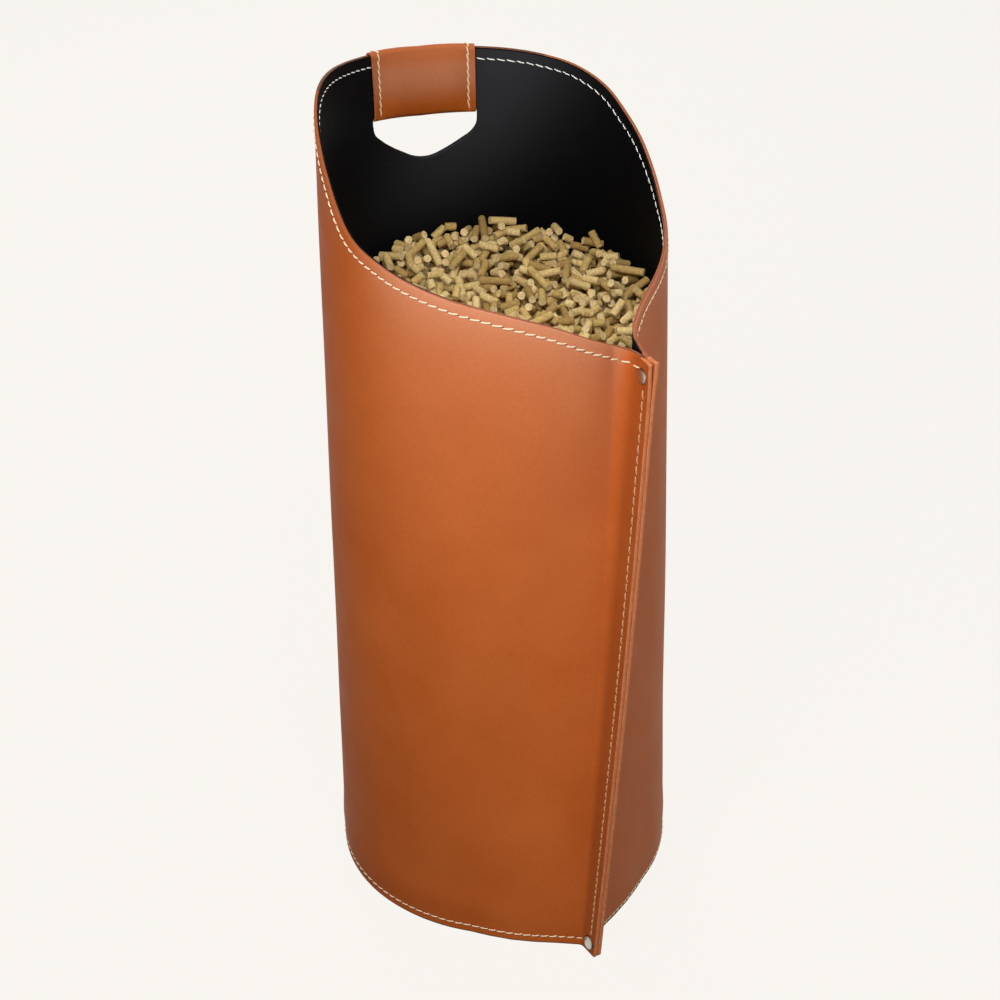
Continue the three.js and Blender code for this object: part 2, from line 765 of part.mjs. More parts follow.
addPiece('rim_thread_left_outer', rimThread(LEFT, -threadStandoff), finishes.creamThread);
addPiece('rim_thread_left_inner', rimThread(LEFT, wallThickness + threadStandoff), finishes.creamThread);
addPiece('rim_thread_right_outer', rimThread(RIGHT, -threadStandoff), finishes.creamThread);
addPiece('rim_thread_right_inner', rimThread(RIGHT, wallThickness + threadStandoff), finishes.creamThread);
addPiece('seam_thread_left', seamThread(LEFT), finishes.creamThread);
addPiece('seam_thread_right', seamThread(RIGHT), finishes.creamThread);
addPiece('base_thread', baseThread(), finishes.creamThread);
addPiece('grip_thread_left', gripThread(LEFT), finishes.creamThread);
addPiece('grip_thread_right', gripThread(RIGHT), finishes.creamThread);

addPiece('pellet_load', pelletLoad(), finishes.woodPellets);

// The bag stands centred over the origin
const extent = new THREE.Box3().setFromObject(bag);
const middle = extent.getCenter(new THREE.Vector3());
bag.position.set(-middle.x, -middle.y, -extent.min.z);

export default bag;
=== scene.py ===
from math import radians

import bmesh
import bpy
import numpy as np
from mathutils import Euler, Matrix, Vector


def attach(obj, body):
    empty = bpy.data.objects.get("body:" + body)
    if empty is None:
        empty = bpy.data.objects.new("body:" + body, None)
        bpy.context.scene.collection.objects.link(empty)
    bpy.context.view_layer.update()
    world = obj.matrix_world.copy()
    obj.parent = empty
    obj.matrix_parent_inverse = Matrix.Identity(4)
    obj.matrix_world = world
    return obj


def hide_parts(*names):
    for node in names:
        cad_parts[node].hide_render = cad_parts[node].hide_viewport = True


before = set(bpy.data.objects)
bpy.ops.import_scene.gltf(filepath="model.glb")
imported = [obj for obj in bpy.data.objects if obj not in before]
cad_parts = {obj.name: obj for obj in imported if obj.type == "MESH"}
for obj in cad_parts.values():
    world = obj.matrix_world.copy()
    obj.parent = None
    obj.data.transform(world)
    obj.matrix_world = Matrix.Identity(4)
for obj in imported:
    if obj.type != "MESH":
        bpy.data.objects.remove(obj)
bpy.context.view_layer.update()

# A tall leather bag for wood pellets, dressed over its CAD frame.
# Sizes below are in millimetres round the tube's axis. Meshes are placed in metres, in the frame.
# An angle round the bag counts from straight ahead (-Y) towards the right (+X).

MM = 0.001
TUBE_CENTRE = np.array([0.004, 13.499, 0.0])


def placed(name, data):
    """A new object in the scene."""
    thing = bpy.data.objects.new(name, data)
    bpy.context.scene.collection.objects.link(thing)
    return thing


# The camera: where it stands, how long its lens is, and how far the picture is shifted

CAMERA_PLACE = (0.000004, -2.65760, 2.32107)
CAMERA_DOWN = radians(37.113)
CAMERA_ROLL = radians(-0.972)
CAMERA_LENS = 160.74
CAMERA_SHIFT = (0.001267, 0.022409)

camera = placed("camera", bpy.data.cameras.new("camera"))
camera.location = CAMERA_PLACE
camera.rotation_euler = (
    Euler((radians(90) - CAMERA_DOWN, 0, 0)).to_matrix() @ Euler((0, 0, CAMERA_ROLL)).to_matrix()
).to_euler()
camera.data.sensor_width = 36
camera.data.lens = CAMERA_LENS
camera.data.shift_x, camera.data.shift_y = CAMERA_SHIFT
camera.data.clip_end = 100
bpy.context.scene.camera = camera


# Nodes and colours

def add_node(tree, kind, inputs=None, **settings):
    """Adds a node, sets its fields, and sets or links its inputs."""
    node = tree.nodes.new(kind)
    for name, value in settings.items():
        setattr(node, name, value)
    for key, value in (inputs or {}).items():
        if isinstance(value, bpy.types.NodeSocket):
            tree.links.new(value, node.inputs[key])
        else:
            node.inputs[key].default_value = value
    return node


def tint(code, strength=1.0):
    """The linear colour of an sRGB hex code, at a share of its brightness."""
    shares = [int(code[at:at + 2], 16) / 255 for at in (0, 2, 4)]
    linear = [
        share / 12.92 if share <= 0.04045 else ((share + 0.055) / 1.055) ** 2.4 for share in shares
    ]
    return (*[value * strength for value in linear], 1.0)


def cleared(block):
    """The emptied node tree of a material or a world."""
    block.use_nodes = True
    block.node_tree.nodes.clear()
    return block.node_tree


def blank_material(name):
    """A material with a bare shader, its output, and the object's own coordinates."""
    material = bpy.data.materials.new(name)
    tree = cleared(material)
    shader = add_node(tree, "ShaderNodeBsdfPrincipled")
    add_node(tree, "ShaderNodeOutputMaterial", {"Surface": shader.outputs["BSDF"]})
    place = add_node(tree, "ShaderNodeTexCoord").outputs["Object"]
    return material, tree, shader, place


def per_metre(size):
    """The scale that gives a pattern features of this many millimetres."""
    return 1 / (size * MM)


# Materials

# Painted shade: the colour that darkens the seam and its fold
SEAM_SHADE_COLOUR = "6A3418"
# Painted sheen on the black lining
GREY_PAINTED_SHEEN = "2D2D30"
# Painted dark reflection and shade round the rivets' feet, with some tarnish
TARNISH_AND_DARK_REFLECTION = "3B362E"
BROKEN_WOOD = "E8CB92"


def vegetable_tanned_leather(name, dark, mid, light, painted_light_and_wear, grain):
    """Smooth vegetable-tanned leather, waxed to a satin. The hide takes the dye in large soft
    clouds, and the wax leaves a broad soft sheen over a very fine grain. Where the mesh's attribute
    of painted light is above zero, a painted sheen makes the surface paler and pinker, and where it
    is below zero, painted shade darkens it, on the seam and its fold."""
    material, tree, shader, place = blank_material(name)
    clouds = add_node(tree, "ShaderNodeTexNoise", {
        "Vector": place, "Scale": per_metre(70), "Detail": 3.0, "Roughness": 0.5, "Distortion": 0.3,
    })
    colour = add_node(tree, "ShaderNodeValToRGB", {"Fac": clouds.outputs["Fac"]})
    ramp = colour.color_ramp
    ramp.elements[0].position = 0.30
    ramp.elements[0].color = tint(dark)
    ramp.elements[1].position = 0.72
    ramp.elements[1].color = tint(light)
    ramp.elements.new(0.50).color = tint(mid)
    speckle = add_node(tree, "ShaderNodeTexNoise", {
        "Vector": place, "Scale": per_metre(2.6), "Detail": 4.0, "Roughness": 0.65,
    })
    shade = add_node(tree, "ShaderNodeMapRange", {
        "Value": speckle.outputs["Fac"], "From Min": 0.3, "From Max": 0.7,
        "To Min": 0.95, "To Max": 1.04,
    })
    # The mesh's attribute paints a sheen above zero and shade below zero
    light_and_wear = add_node(tree, "ShaderNodeAttribute", attribute_name="painted_light_and_wear")
    worn_and_painted_sheen = add_node(tree, "ShaderNodeMix", {
        "Factor": light_and_wear.outputs["Fac"], 6: colour.outputs["Color"], 7: tint(painted_light_and_wear),
    }, data_type="RGBA")
    below_zero = add_node(tree, "ShaderNodeMath", {
        0: light_and_wear.outputs["Fac"], 1: -1.0,
    }, operation="MULTIPLY")
    seam_shading = add_node(tree, "ShaderNodeMix", {
        "Factor": below_zero.outputs[0], 6: worn_and_painted_sheen.outputs[2], 7: tint(SEAM_SHADE_COLOUR),
    }, data_type="RGBA")
    toned = add_node(tree, "ShaderNodeVectorMath", {
        0: seam_shading.outputs[2], 1: shade.outputs["Result"],
    }, operation="MULTIPLY")
    tree.links.new(toned.outputs["Vector"], shader.inputs["Base Color"])

    # The wax is thinner in places, so the sheen isn't even
    wax = add_node(tree, "ShaderNodeTexNoise", {
        "Vector": place, "Scale": per_metre(30), "Detail": 4.0, "Roughness": 0.6,
    })
    roughness = add_node(tree, "ShaderNodeMapRange", {
        "Value": wax.outputs["Fac"], "From Min": 0.3, "From Max": 0.7,
        "To Min": 0.44, "To Max": 0.54,
    })
    tree.links.new(roughness.outputs["Result"], shader.inputs["Roughness"])

    # Real grain is 0.2 mm across, too fine to show, so it is drawn at about 1 mm
    pores = add_node(tree, "ShaderNodeTexVoronoi", {"Vector": place, "Scale": per_metre(1.1)})
    folds = add_node(tree, "ShaderNodeTexNoise", {
        "Vector": place, "Scale": per_metre(9), "Detail": 5.0, "Roughness": 0.6,
    })
    fine = add_node(tree, "ShaderNodeBump", {
        "Height": pores.outputs["Distance"], "Strength": grain, "Distance": 0.12 * MM,
    })
    soft = add_node(tree, "ShaderNodeBump", {
        "Height": folds.outputs["Fac"], "Strength": 0.5, "Distance": 0.35 * MM,
        "Normal": fine.outputs["Normal"],
    })
    tree.links.new(soft.outputs["Normal"], shader.inputs["Normal"])
    shader.inputs["Specular IOR Level"].default_value = 0.03
    return material


def burnished_cut_edge(name, dark, light, unworn_unsheened=None):
    """The cut edge of the hide, burnished smooth, with the fibres' fine stripes along it. Where a
    bare colour is given, the edge keeps it until the mesh's attribute says otherwise: on the tan rim
    that is a painted sheen, on the lining's rim real wear."""
    material, tree, shader, place = blank_material(name)
    stretched = add_node(tree, "ShaderNodeMapping", {"Vector": place, "Scale": (1.0, 1.0, 0.35)})
    fibres = add_node(tree, "ShaderNodeTexNoise", {
        "Vector": stretched.outputs["Vector"], "Scale": per_metre(1.6), "Detail": 4.0,
        "Roughness": 0.7,
    })
    colour = add_node(tree, "ShaderNodeValToRGB", {"Fac": fibres.outputs["Fac"]})
    colour.color_ramp.elements[0].position = 0.32
    colour.color_ramp.elements[0].color = tint(dark)
    colour.color_ramp.elements[1].position = 0.68
    colour.color_ramp.elements[1].color = tint(light)
    shown = colour.outputs["Color"]
    if unworn_unsheened:
        light_and_wear = add_node(tree, "ShaderNodeAttribute", attribute_name="painted_light_and_wear")
        shown = add_node(tree, "ShaderNodeMix", {
            "Factor": light_and_wear.outputs["Fac"], 6: tint(unworn_unsheened), 7: shown,
        }, data_type="RGBA").outputs[2]
    tree.links.new(shown, shader.inputs["Base Color"])
    bump = add_node(tree, "ShaderNodeBump", {
        "Height": fibres.outputs["Fac"], "Strength": 0.35, "Distance": 0.15 * MM,
    })
    tree.links.new(bump.outputs["Normal"], shader.inputs["Normal"])
    shader.inputs["Roughness"].default_value = 0.6
    shader.inputs["Specular IOR Level"].default_value = 0.12
    return material


def black_lining_leather():
    """Thin black lining leather, matt and nearly black. Where the mesh's attribute says so, it is
    painted with a grey sheen."""
    material, tree, shader, place = blank_material("black_lining_leather_matt")
    clouds = add_node(tree, "ShaderNodeTexNoise", {
        "Vector": place, "Scale": per_metre(35), "Detail": 4.0, "Roughness": 0.6,
    })
    colour = add_node(tree, "ShaderNodeValToRGB", {"Fac": clouds.outputs["Fac"]})
    colour.color_ramp.elements[0].color = tint("050506")
    colour.color_ramp.elements[1].color = tint("0A0A0C")
    grey_sheen_mask = add_node(tree, "ShaderNodeAttribute", attribute_name="painted_light_and_wear")
    worn_and_painted_sheen = add_node(tree, "ShaderNodeMix", {
        "Factor": grey_sheen_mask.outputs["Fac"], 6: colour.outputs["Color"], 7: tint(GREY_PAINTED_SHEEN),
    }, data_type="RGBA")
    tree.links.new(worn_and_painted_sheen.outputs[2], shader.inputs["Base Color"])
    pores = add_node(tree, "ShaderNodeTexVoronoi", {"Vector": place, "Scale": per_metre(1.3)})
    bump = add_node(tree, "ShaderNodeBump", {
        "Height": pores.outputs["Distance"], "Strength": 0.4, "Distance": 0.15 * MM,
    })
    tree.links.new(bump.outputs["Normal"], shader.inputs["Normal"])
    shader.inputs["Roughness"].default_value = 0.6
    shader.inputs["Specular IOR Level"].default_value = 0.05
    return material


def waxed_linen_thread(name, dark, light):
    """Linen thread, waxed: two twisted plies, so light and dark bands slant across it."""
    material, tree, shader, place = blank_material(name)
    plies = add_node(tree, "ShaderNodeTexWave", {
        "Vector": place, "Scale": per_metre(1.9), "Distortion": 2.0, "Detail": 2.0,
    }, bands_direction="DIAGONAL")
    colour = add_node(tree, "ShaderNodeValToRGB", {"Fac": plies.outputs["Fac"]})
    colour.color_ramp.elements[0].color = tint(dark)
    colour.color_ramp.elements[1].color = tint(light)
    tree.links.new(colour.outputs["Color"], shader.inputs["Base Color"])
    bump = add_node(tree, "ShaderNodeBump", {
        "Height": plies.outputs["Fac"], "Strength": 0.5, "Distance": 0.12 * MM,
    })
    tree.links.new(bump.outputs["Normal"], shader.inputs["Normal"])
    shader.inputs["Roughness"].default_value = 0.6
    return material


def polished_nickel():
    """Nickel-plated steel, polished: it mirrors the room, dulled by faint rubbing marks. Round its
    foot, where the mesh's attribute is low, it is painted dark: a painted dark reflection and shade,
    with some tarnish."""
    material, tree, shader, place = blank_material("nickel_plated_steel_polished")
    rubbing = add_node(tree, "ShaderNodeTexNoise", {
        "Vector": place, "Scale": per_metre(2), "Detail": 6.0, "Roughness": 0.7,
    })
    roughness = add_node(tree, "ShaderNodeMapRange", {
        "Value": rubbing.outputs["Fac"], "From Min": 0.3, "From Max": 0.7,
        "To Min": 0.26, "To Max": 0.38,
    })
    tree.links.new(roughness.outputs["Result"], shader.inputs["Roughness"])
    colour = add_node(tree, "ShaderNodeValToRGB", {"Fac": rubbing.outputs["Fac"]})
    colour.color_ramp.elements[0].color = tint("ACA89E")
    colour.color_ramp.elements[1].color = tint("D0CCC2")
    clear_of_dark_foot = add_node(tree, "ShaderNodeAttribute", attribute_name="painted_light_and_wear")
    bright = add_node(tree, "ShaderNodeMix", {
        "Factor": clear_of_dark_foot.outputs["Fac"], 6: tint(TARNISH_AND_DARK_REFLECTION), 7: colour.outputs["Color"],
    }, data_type="RGBA")
    tree.links.new(bright.outputs[2], shader.inputs["Base Color"])
    shader.inputs["Metallic"].default_value = 1.0
    return material


def pressed_wood():
    """Softwood dust compacted into sticks: each has its own straw tone, with paler broken ends, and
    its crumbled surface is dull."""
    material, tree, shader, place = blank_material("softwood_dust_pressed")
    tone = add_node(tree, "ShaderNodeAttribute", attribute_name="tone")
    colour = add_node(tree, "ShaderNodeValToRGB", {"Fac": tone.outputs["Fac"]})
    ramp = colour.color_ramp
    ramp.elements[0].color = tint("A58349")
    ramp.elements[1].color = tint("E8CC90")
    ramp.elements.new(0.5).color = tint("D6B672")
    broken = add_node(tree, "ShaderNodeAttribute", attribute_name="broken_end")
    bared = add_node(tree, "ShaderNodeMix", {
        "Factor": broken.outputs["Fac"], 6: colour.outputs["Color"], 7: tint(BROKEN_WOOD),
    }, data_type="RGBA")
    dust = add_node(tree, "ShaderNodeTexNoise", {
        "Vector": place, "Scale": per_metre(1.9), "Detail": 6.0, "Roughness": 0.75,
    })
    shade = add_node(tree, "ShaderNodeMapRange", {
        "Value": dust.outputs["Fac"], "From Min": 0.32, "From Max": 0.68,
        "To Min": 0.58, "To Max": 1.2,
    })
    toned = add_node(tree, "ShaderNodeVectorMath", {
        0: bared.outputs[2], 1: shade.outputs["Result"],
    }, operation="MULTIPLY")
    tree.links.new(toned.outputs["Vector"], shader.inputs["Base Color"])
    bump = add_node(tree, "ShaderNodeBump", {
        "Height": dust.outputs["Fac"], "Strength": 0.9, "Distance": 0.8 * MM,
    })
    tree.links.new(bump.outputs["Normal"], shader.inputs["Normal"])
    shader.inputs["Roughness"].default_value = 0.7
    shader.inputs["Specular IOR Level"].default_value = 0.15
    return material


def raw_fibreboard():
    """Brown fibreboard, left raw: flat, dry and lightly flecked."""
    material, tree, shader, place = blank_material("fibreboard_raw")
    flecks = add_node(tree, "ShaderNodeTexNoise", {
        "Vector": place, "Scale": per_metre(3), "Detail": 6.0, "Roughness": 0.75,
    })
    colour = add_node(tree, "ShaderNodeValToRGB", {"Fac": flecks.outputs["Fac"]})
    colour.color_ramp.elements[0].color = tint("86673F")
    colour.color_ramp.elements[1].color = tint("B19066")
    tree.links.new(colour.outputs["Color"], shader.inputs["Base Color"])
    shader.inputs["Roughness"].default_value = 0.85
    return material


# The tan's colours are a touch paler and greyer than the dye alone: a faint, even painted sheen
TAN_LEATHER = vegetable_tanned_leather(
    "tan_leather_satin", "BA5B24", "BF602A", "C4652D", "D28A66", grain=0.3)
GRIP_LEATHER = vegetable_tanned_leather(
    "brown_grip_leather_satin", "A04C17", "A55019", "A9541D", "B07050", grain=0.4)
CUT_EDGE = burnished_cut_edge("tan_leather_cut_edge", "BA683E", "D08558")
# The rim's edge pales along the front with the leather's painted sheen
RIM_EDGE = burnished_cut_edge("tan_leather_rim_edge", "985740", "B07051", unworn_unsheened="8C4B29")
LINING_EDGE = burnished_cut_edge("lining_rim_edge", "985740", "B07051", unworn_unsheened="0A0809")
# This dark edge also gives the painted shade in the stitches' awl holes
DARK_EDGE_AND_HOLE_SHADE = burnished_cut_edge("tan_leather_dark_edge_and_hole_shade", "4A2A1A", "6E432C")
BLACK_LINING = black_lining_leather()
CREAM_THREAD = waxed_linen_thread("cream_linen_thread_waxed", "DCC19A", "F5E3C6")
# The seam's thread: the cream thread darkened, as painted shade
SHADED_SEAM_THREAD = waxed_linen_thread("seam_linen_thread_painted_shade", "B07C4E", "DAB084")
WHITE_THREAD = waxed_linen_thread("white_linen_thread_waxed", "DCD9D0", "F8F6F0")
NICKEL = polished_nickel()
PELLET_WOOD = pressed_wood()
FIBREBOARD = raw_fibreboard()


# The tube, the seam and the rim, as in the CAD source

TUBE_RADIUS = 125.0
LEATHER_DEPTH = 2.15
WALL_DEPTH = 3.3
SEAM_LEATHER_DEPTH = 3.38
HALF_SEAM = 3.45

SEAM_CORNER_HEIGHT = 519.0
SEAM_FACING = radians(31)
SEAM_WIDTH_BOTTOM = 16.5
SEAM_WIDTH_TOP = 29.5
SEAM_BOW = 3.0
FOLD_RADIUS_BOTTOM = 6.0
LEFT = -1
RIGHT = 1
FOLD_RADIUS_TOP = {LEFT: 12.0, RIGHT: 6.0}

RIM_PEAK_HEIGHT = 670.0
MOST_STRETCH = 2.2
RIM_SHARES = {
    LEFT: [
        (0, 0.841), (0.1, 0.913), (0.24, 1.004), (0.33, 0.952), (0.4, 0.795), (0.47, 0.59),
        (0.54, 0.517), (0.66, 0.426), (0.74, 0.358), (0.82, 0.248), (0.91, 0.067), (0.945, 0.004),
        (1, 0),
    ],
    RIGHT: [
        (0, 0.841), (0.11, 0.807), (0.26, 0.774), (0.33, 0.752), (0.4, 0.697), (0.454, 0.612),
        (0.509, 0.521), (0.563, 0.416), (0.62, 0.318), (0.7, 0.262), (0.82, 0.214), (0.88, 0.17),
        (0.915, 0.105), (0.935, 0.02), (1, 0),
    ],
}

GRIP_ANGLE = radians(205)
GRIP_WIDTH = 85.0
GRIP_HALF_ANGLE = GRIP_WIDTH / 2 / TUBE_RADIUS
BAR_HEIGHT = 53.0
HOLE_HALF_WIDTH = 42.5
HOLE_DROP = 42.0
HOLE_SIDE_DROP = 13.5
HOLE_POINT_REACH = 16.0
HOLE_CORNER_REACH = 7.0
HOLE_FULLNESS = [
    (-42.5, 0.6), (-36, 1.6), (-31, 2.7), (-26.5, 2.9), (-21.5, 2.9), (-17, 2.3), (-12, 1.6),
    (-7, 1.3), (-2.4, 1.5), (2.4, 2.0), (7, 2.8), (12, 3.6), (17, 4.4), (21.6, 4.8), (26.5, 4.8),
    (31, 4.3), (36, 3.8), (42.5, 1.5),
]

RIM_STITCH_INSET = 9.0
BASE_STITCH_HEIGHT = 6.5
BASE_STITCH_RIGHT = 3.2
SEAM_STITCH_INSET = 6.0
GRIP_STITCH_INSET = 5.5


def direction(angle):
    angle = np.asarray(angle, float)
    return np.stack([np.sin(angle), -np.cos(angle)], axis=-1)


def reach_of(vectors):
    return np.linalg.norm(vectors, axis=-1)


def unit(vectors):
    return vectors / np.linalg.norm(vectors, axis=-1, keepdims=True)


def summed(steps):
    """The running total of some steps, from 0."""
    return np.concatenate([[0], np.cumsum(steps)])


def bell(distance, width):
    """1 at no distance, and soon 0 beyond this width."""
    return np.exp(-(distance / width) ** 2)


def facing_of(vectors):
    """The angle in which vectors point."""
    return np.arctan2(vectors[..., 0], -vectors[..., 1])


SEAM_OUTWARD = direction(SEAM_FACING)
SEAM_ACROSS = direction(SEAM_FACING + np.pi / 2)
FOLD_BOTTOM = direction(radians(23.6)) * (TUBE_RADIUS + 27.5)
FOLD_TOP = direction(radians(48.7)) * (TUBE_RADIUS + 2.5)


def mix(start, end, share):
    return start + (end - start) * share


def eased(share):
    """Runs from 0 to 1 and leaves and arrives level."""
    share = np.clip(share, 0, 1)
    return share * share * (3 - 2 * share)


def seam_at(height):
    """The middle of the seam's fold, and of its edge, at a height."""
    rise = np.clip(height / SEAM_CORNER_HEIGHT, 0, 1)[..., None]
    fold = mix(FOLD_BOTTOM, FOLD_TOP, rise) + SEAM_OUTWARD * SEAM_BOW * np.sin(np.pi * rise)
    return fold, fold + SEAM_OUTWARD * mix(SEAM_WIDTH_BOTTOM, SEAM_WIDTH_TOP, rise)


def wall_section(side, height):
    """One half of the wall at some heights: where its round back ends, its flank and its fold."""
    fold, edge = seam_at(height)
    corner = fold + SEAM_ACROSS * side * HALF_SEAM
    tangent = facing_of(corner) + side * np.arccos(TUBE_RADIUS / reach_of(corner))
    flank_normal = direction(tangent)
    flank_start = flank_normal * TUBE_RADIUS
    flank_way = unit(corner - flank_start)
    seam_normal_angle = SEAM_FACING + side * np.pi / 2
    turn = seam_normal_angle - tangent
    rise = np.clip(height / SEAM_CORNER_HEIGHT, 0, 1)
    fold_radius = mix(FOLD_RADIUS_BOTTOM, FOLD_RADIUS_TOP[side], rise)[..., None]
    fold_start = corner - flank_way * fold_radius * np.tan(np.abs(turn) / 2)[..., None]
    fold_centre = fold_start + flank_normal * fold_radius
    seam_normal = direction(seam_normal_angle)
    return {
        "tangent": tangent, "turn": turn, "flank_normal": flank_normal, "flank_start": flank_start,
        "fold_radius": fold_radius, "fold_start": fold_start, "fold_centre": fold_centre,
        "fold_end": fold_centre - seam_normal * fold_radius, "seam_normal": seam_normal,
        "edge": edge + seam_normal * HALF_SEAM,
    }


def seam_flat(section):
    """How wide the seam is from its fold to its edge."""
    return reach_of(section["edge"] - section["fold_end"])


def tangent_at(side, height):
    """The angle at which the round back ends at a height."""
    return float(wall_section(side, np.array(float(height)))["tangent"])


# The leather's soft waves: how far they stand out, how often they go round, the rise in which they
# turn by one radian, and the angle they start from
WAVES = [(0.25, 2.0, 83, 0.7), (0.2, 3.0, -61, 2.1), (0.15, 5.0, 37, 0.0)]
BOARD_SWELL = 0.7
BOARD_SWELL_HEIGHT = 26
BOARD_SWELL_SPREAD = 12
FOOT_FULLNESS = {LEFT: 5.0, RIGHT: 3.2}
FOOT_FULLNESS_TOP = 300
LIP_SPREAD = 1.2
LIP_HEIGHT = 39
LIP_WIDTH = 7


def hand_made(side, way, angle, height):
    """How far the leather stands out of the true form: soft waves, flanks that the round base
    pushes out at the foot, and the swell over the base board."""
    waves = sum(
        size * np.sin(turns * angle + height / rise + start) for size, turns, rise, start in WAVES)
    above_foot = eased((height - 40) / 120)
    beside_grip = eased((np.abs(angle - GRIP_ANGLE) - 0.4) / 0.5)
    below_grip = 1 - eased((height - 430) / 90)
    waves = waves * above_foot * mix(below_grip, 1, beside_grip)
    swell = BOARD_SWELL * bell(height - BOARD_SWELL_HEIGHT, BOARD_SWELL_SPREAD)
    flank = np.sin(np.pi * np.clip((way - 0.8) / 1.2, 0, 1)) ** 1.5
    full = FOOT_FULLNESS[side] * flank * (1 - eased(height / FOOT_FULLNESS_TOP))
    return (1 - eased(way - 1)) * (waves + swell) + full


def wall_place(side, way, height, depth):
    """Points of the wall and its outward directions. way runs from 0 to 1 round the back, to 2
    along the flank, to 3 round the fold, and to 4 along the flat seam. depth counts inwards."""
    way, height, depth = np.broadcast_arrays(
        np.asarray(way, float), np.asarray(height, float), np.asarray(depth, float))
    section = wall_section(side, height)
    arc_end = section["tangent"] + (2 * np.pi if side == LEFT else 0)
    arc_angle = mix(GRIP_ANGLE, arc_end, np.clip(way, 0, 1))
    arc_normal = direction(arc_angle)
    fold_normal = direction(section["tangent"] + section["turn"] * np.clip(way - 2, 0, 1))
    seam_normal = np.broadcast_to(section["seam_normal"], arc_normal.shape)
    flank_share = np.clip(way - 1, 0, 1)[..., None]
    seam_share = np.clip(way - 3, 0, 1)[..., None]
    part = np.clip(np.ceil(way).astype(int) - 1, 0, 3)[..., None]
    point = np.choose(part, [
        arc_normal * TUBE_RADIUS,
        mix(section["flank_start"], section["fold_start"], flank_share),
        section["fold_centre"] - fold_normal * section["fold_radius"],
        mix(section["fold_end"], section["edge"], seam_share),
    ])
    normal = np.choose(part, [arc_normal, section["flank_normal"], fold_normal, seam_normal])
    # At its top corner the seam's two leathers part a little along their edge
    to_edge = seam_flat(section) * (1 - seam_share[..., 0])
    near_top = eased((height - SEAM_CORNER_HEIGHT + LIP_HEIGHT) / LIP_HEIGHT) ** 1.5
    near_edge = np.clip(1 - to_edge / LIP_WIDTH, 0, 1) ** 1.5
    lips = LIP_SPREAD * near_top * near_edge * (way > 3)
    out = hand_made(side, way, arc_angle, height) + lips - depth
    point = point + normal * out[..., None]
    return (
        np.concatenate([point, height[..., None]], axis=-1),
        np.concatenate([normal, np.zeros_like(height)[..., None]], axis=-1),
    )


def curve_through(pairs, along):
    """A smooth curve through pairs of shares."""
    ways = np.array([pair[0] for pair in pairs], float)
    rises = np.array([pair[1] for pair in pairs], float)
    before = np.maximum(np.arange(len(ways)) - 1, 0)
    after = np.minimum(np.arange(len(ways)) + 1, len(ways) - 1)
    slopes = (rises[after] - rises[before]) / (ways[after] - ways[before])
    at = np.clip(np.searchsorted(ways, along, side="left") - 1, 0, len(ways) - 2)
    span = ways[at + 1] - ways[at]
    t = (along - ways[at]) / span
    start = (1 + 2 * t) * (1 - t) ** 2
    return (
        start * rises[at] + (1 - start) * rises[at + 1]
        + t * (1 - t) ** 2 * span * slopes[at] + t * t * (t - 1) * span * slopes[at + 1]
    )


def lengths_along(side, ways):
    """How far each way is from the grip, measured round the wall at the seam's corner."""
    fine = np.linspace(0, 4, 1601)
    points, _ = wall_place(side, fine, SEAM_CORNER_HEIGHT, 0.0)
    lengths = summed(reach_of(np.diff(points, axis=0)))
    return np.interp(ways, fine, lengths), lengths[-1]


def rim_at(side, ways):
    """The rim's height above each way, and how much longer a line along it is than a level one."""
    along, whole = lengths_along(side, ways)

    def height(length):
        share = curve_through(RIM_SHARES[side], length / whole)
        return mix(SEAM_CORNER_HEIGHT, RIM_PEAK_HEIGHT, share)

    slope = height(np.minimum(along + 0.5, whole)) - height(np.maximum(along - 0.5, 0))
    return height(along), np.minimum(np.sqrt(1 + slope ** 2), MOST_STRETCH)


def rim_height(side, way):
    return float(rim_at(side, np.array(way))[0])


def base_stitch_height(side, ways):
    """The foot's stitches come closer to the edge on the right of the seam."""
    if side == LEFT:
        return np.full_like(ways, BASE_STITCH_HEIGHT)
    return mix(BASE_STITCH_HEIGHT, BASE_STITCH_RIGHT, eased((ways - 0.5) / 0.4))


# How far round the back it is from the grip's middle to each flank
SWEEP = {
    LEFT: abs(tangent_at(LEFT, RIM_PEAK_HEIGHT) + 2 * np.pi - GRIP_ANGLE),
    RIGHT: abs(tangent_at(RIGHT, RIM_PEAK_HEIGHT) - GRIP_ANGLE),
}


# Meshes

def two_grids(columns, rows):
    """Numbers the points of two like grids, one behind the other. Gives the corners of a face
    within one of them, and of a face that joins the two. The rows may close into a ring."""
    def at(grid, column, row):
        return (grid * columns + column) * rows + row % rows

    def within(grid, column, row):
        return (at(grid, column, row), at(grid, column + 1, row), at(grid, column + 1, row + 1),
                at(grid, column, row + 1))

    def joining(first, second):
        return at(0, *first), at(0, *second), at(1, *second), at(1, *first)

    return within, joining


def in_frame(points):
    """Millimetres round the tube's axis to metres in the frame."""
    return (np.asarray(points, float) + TUBE_CENTRE) * MM


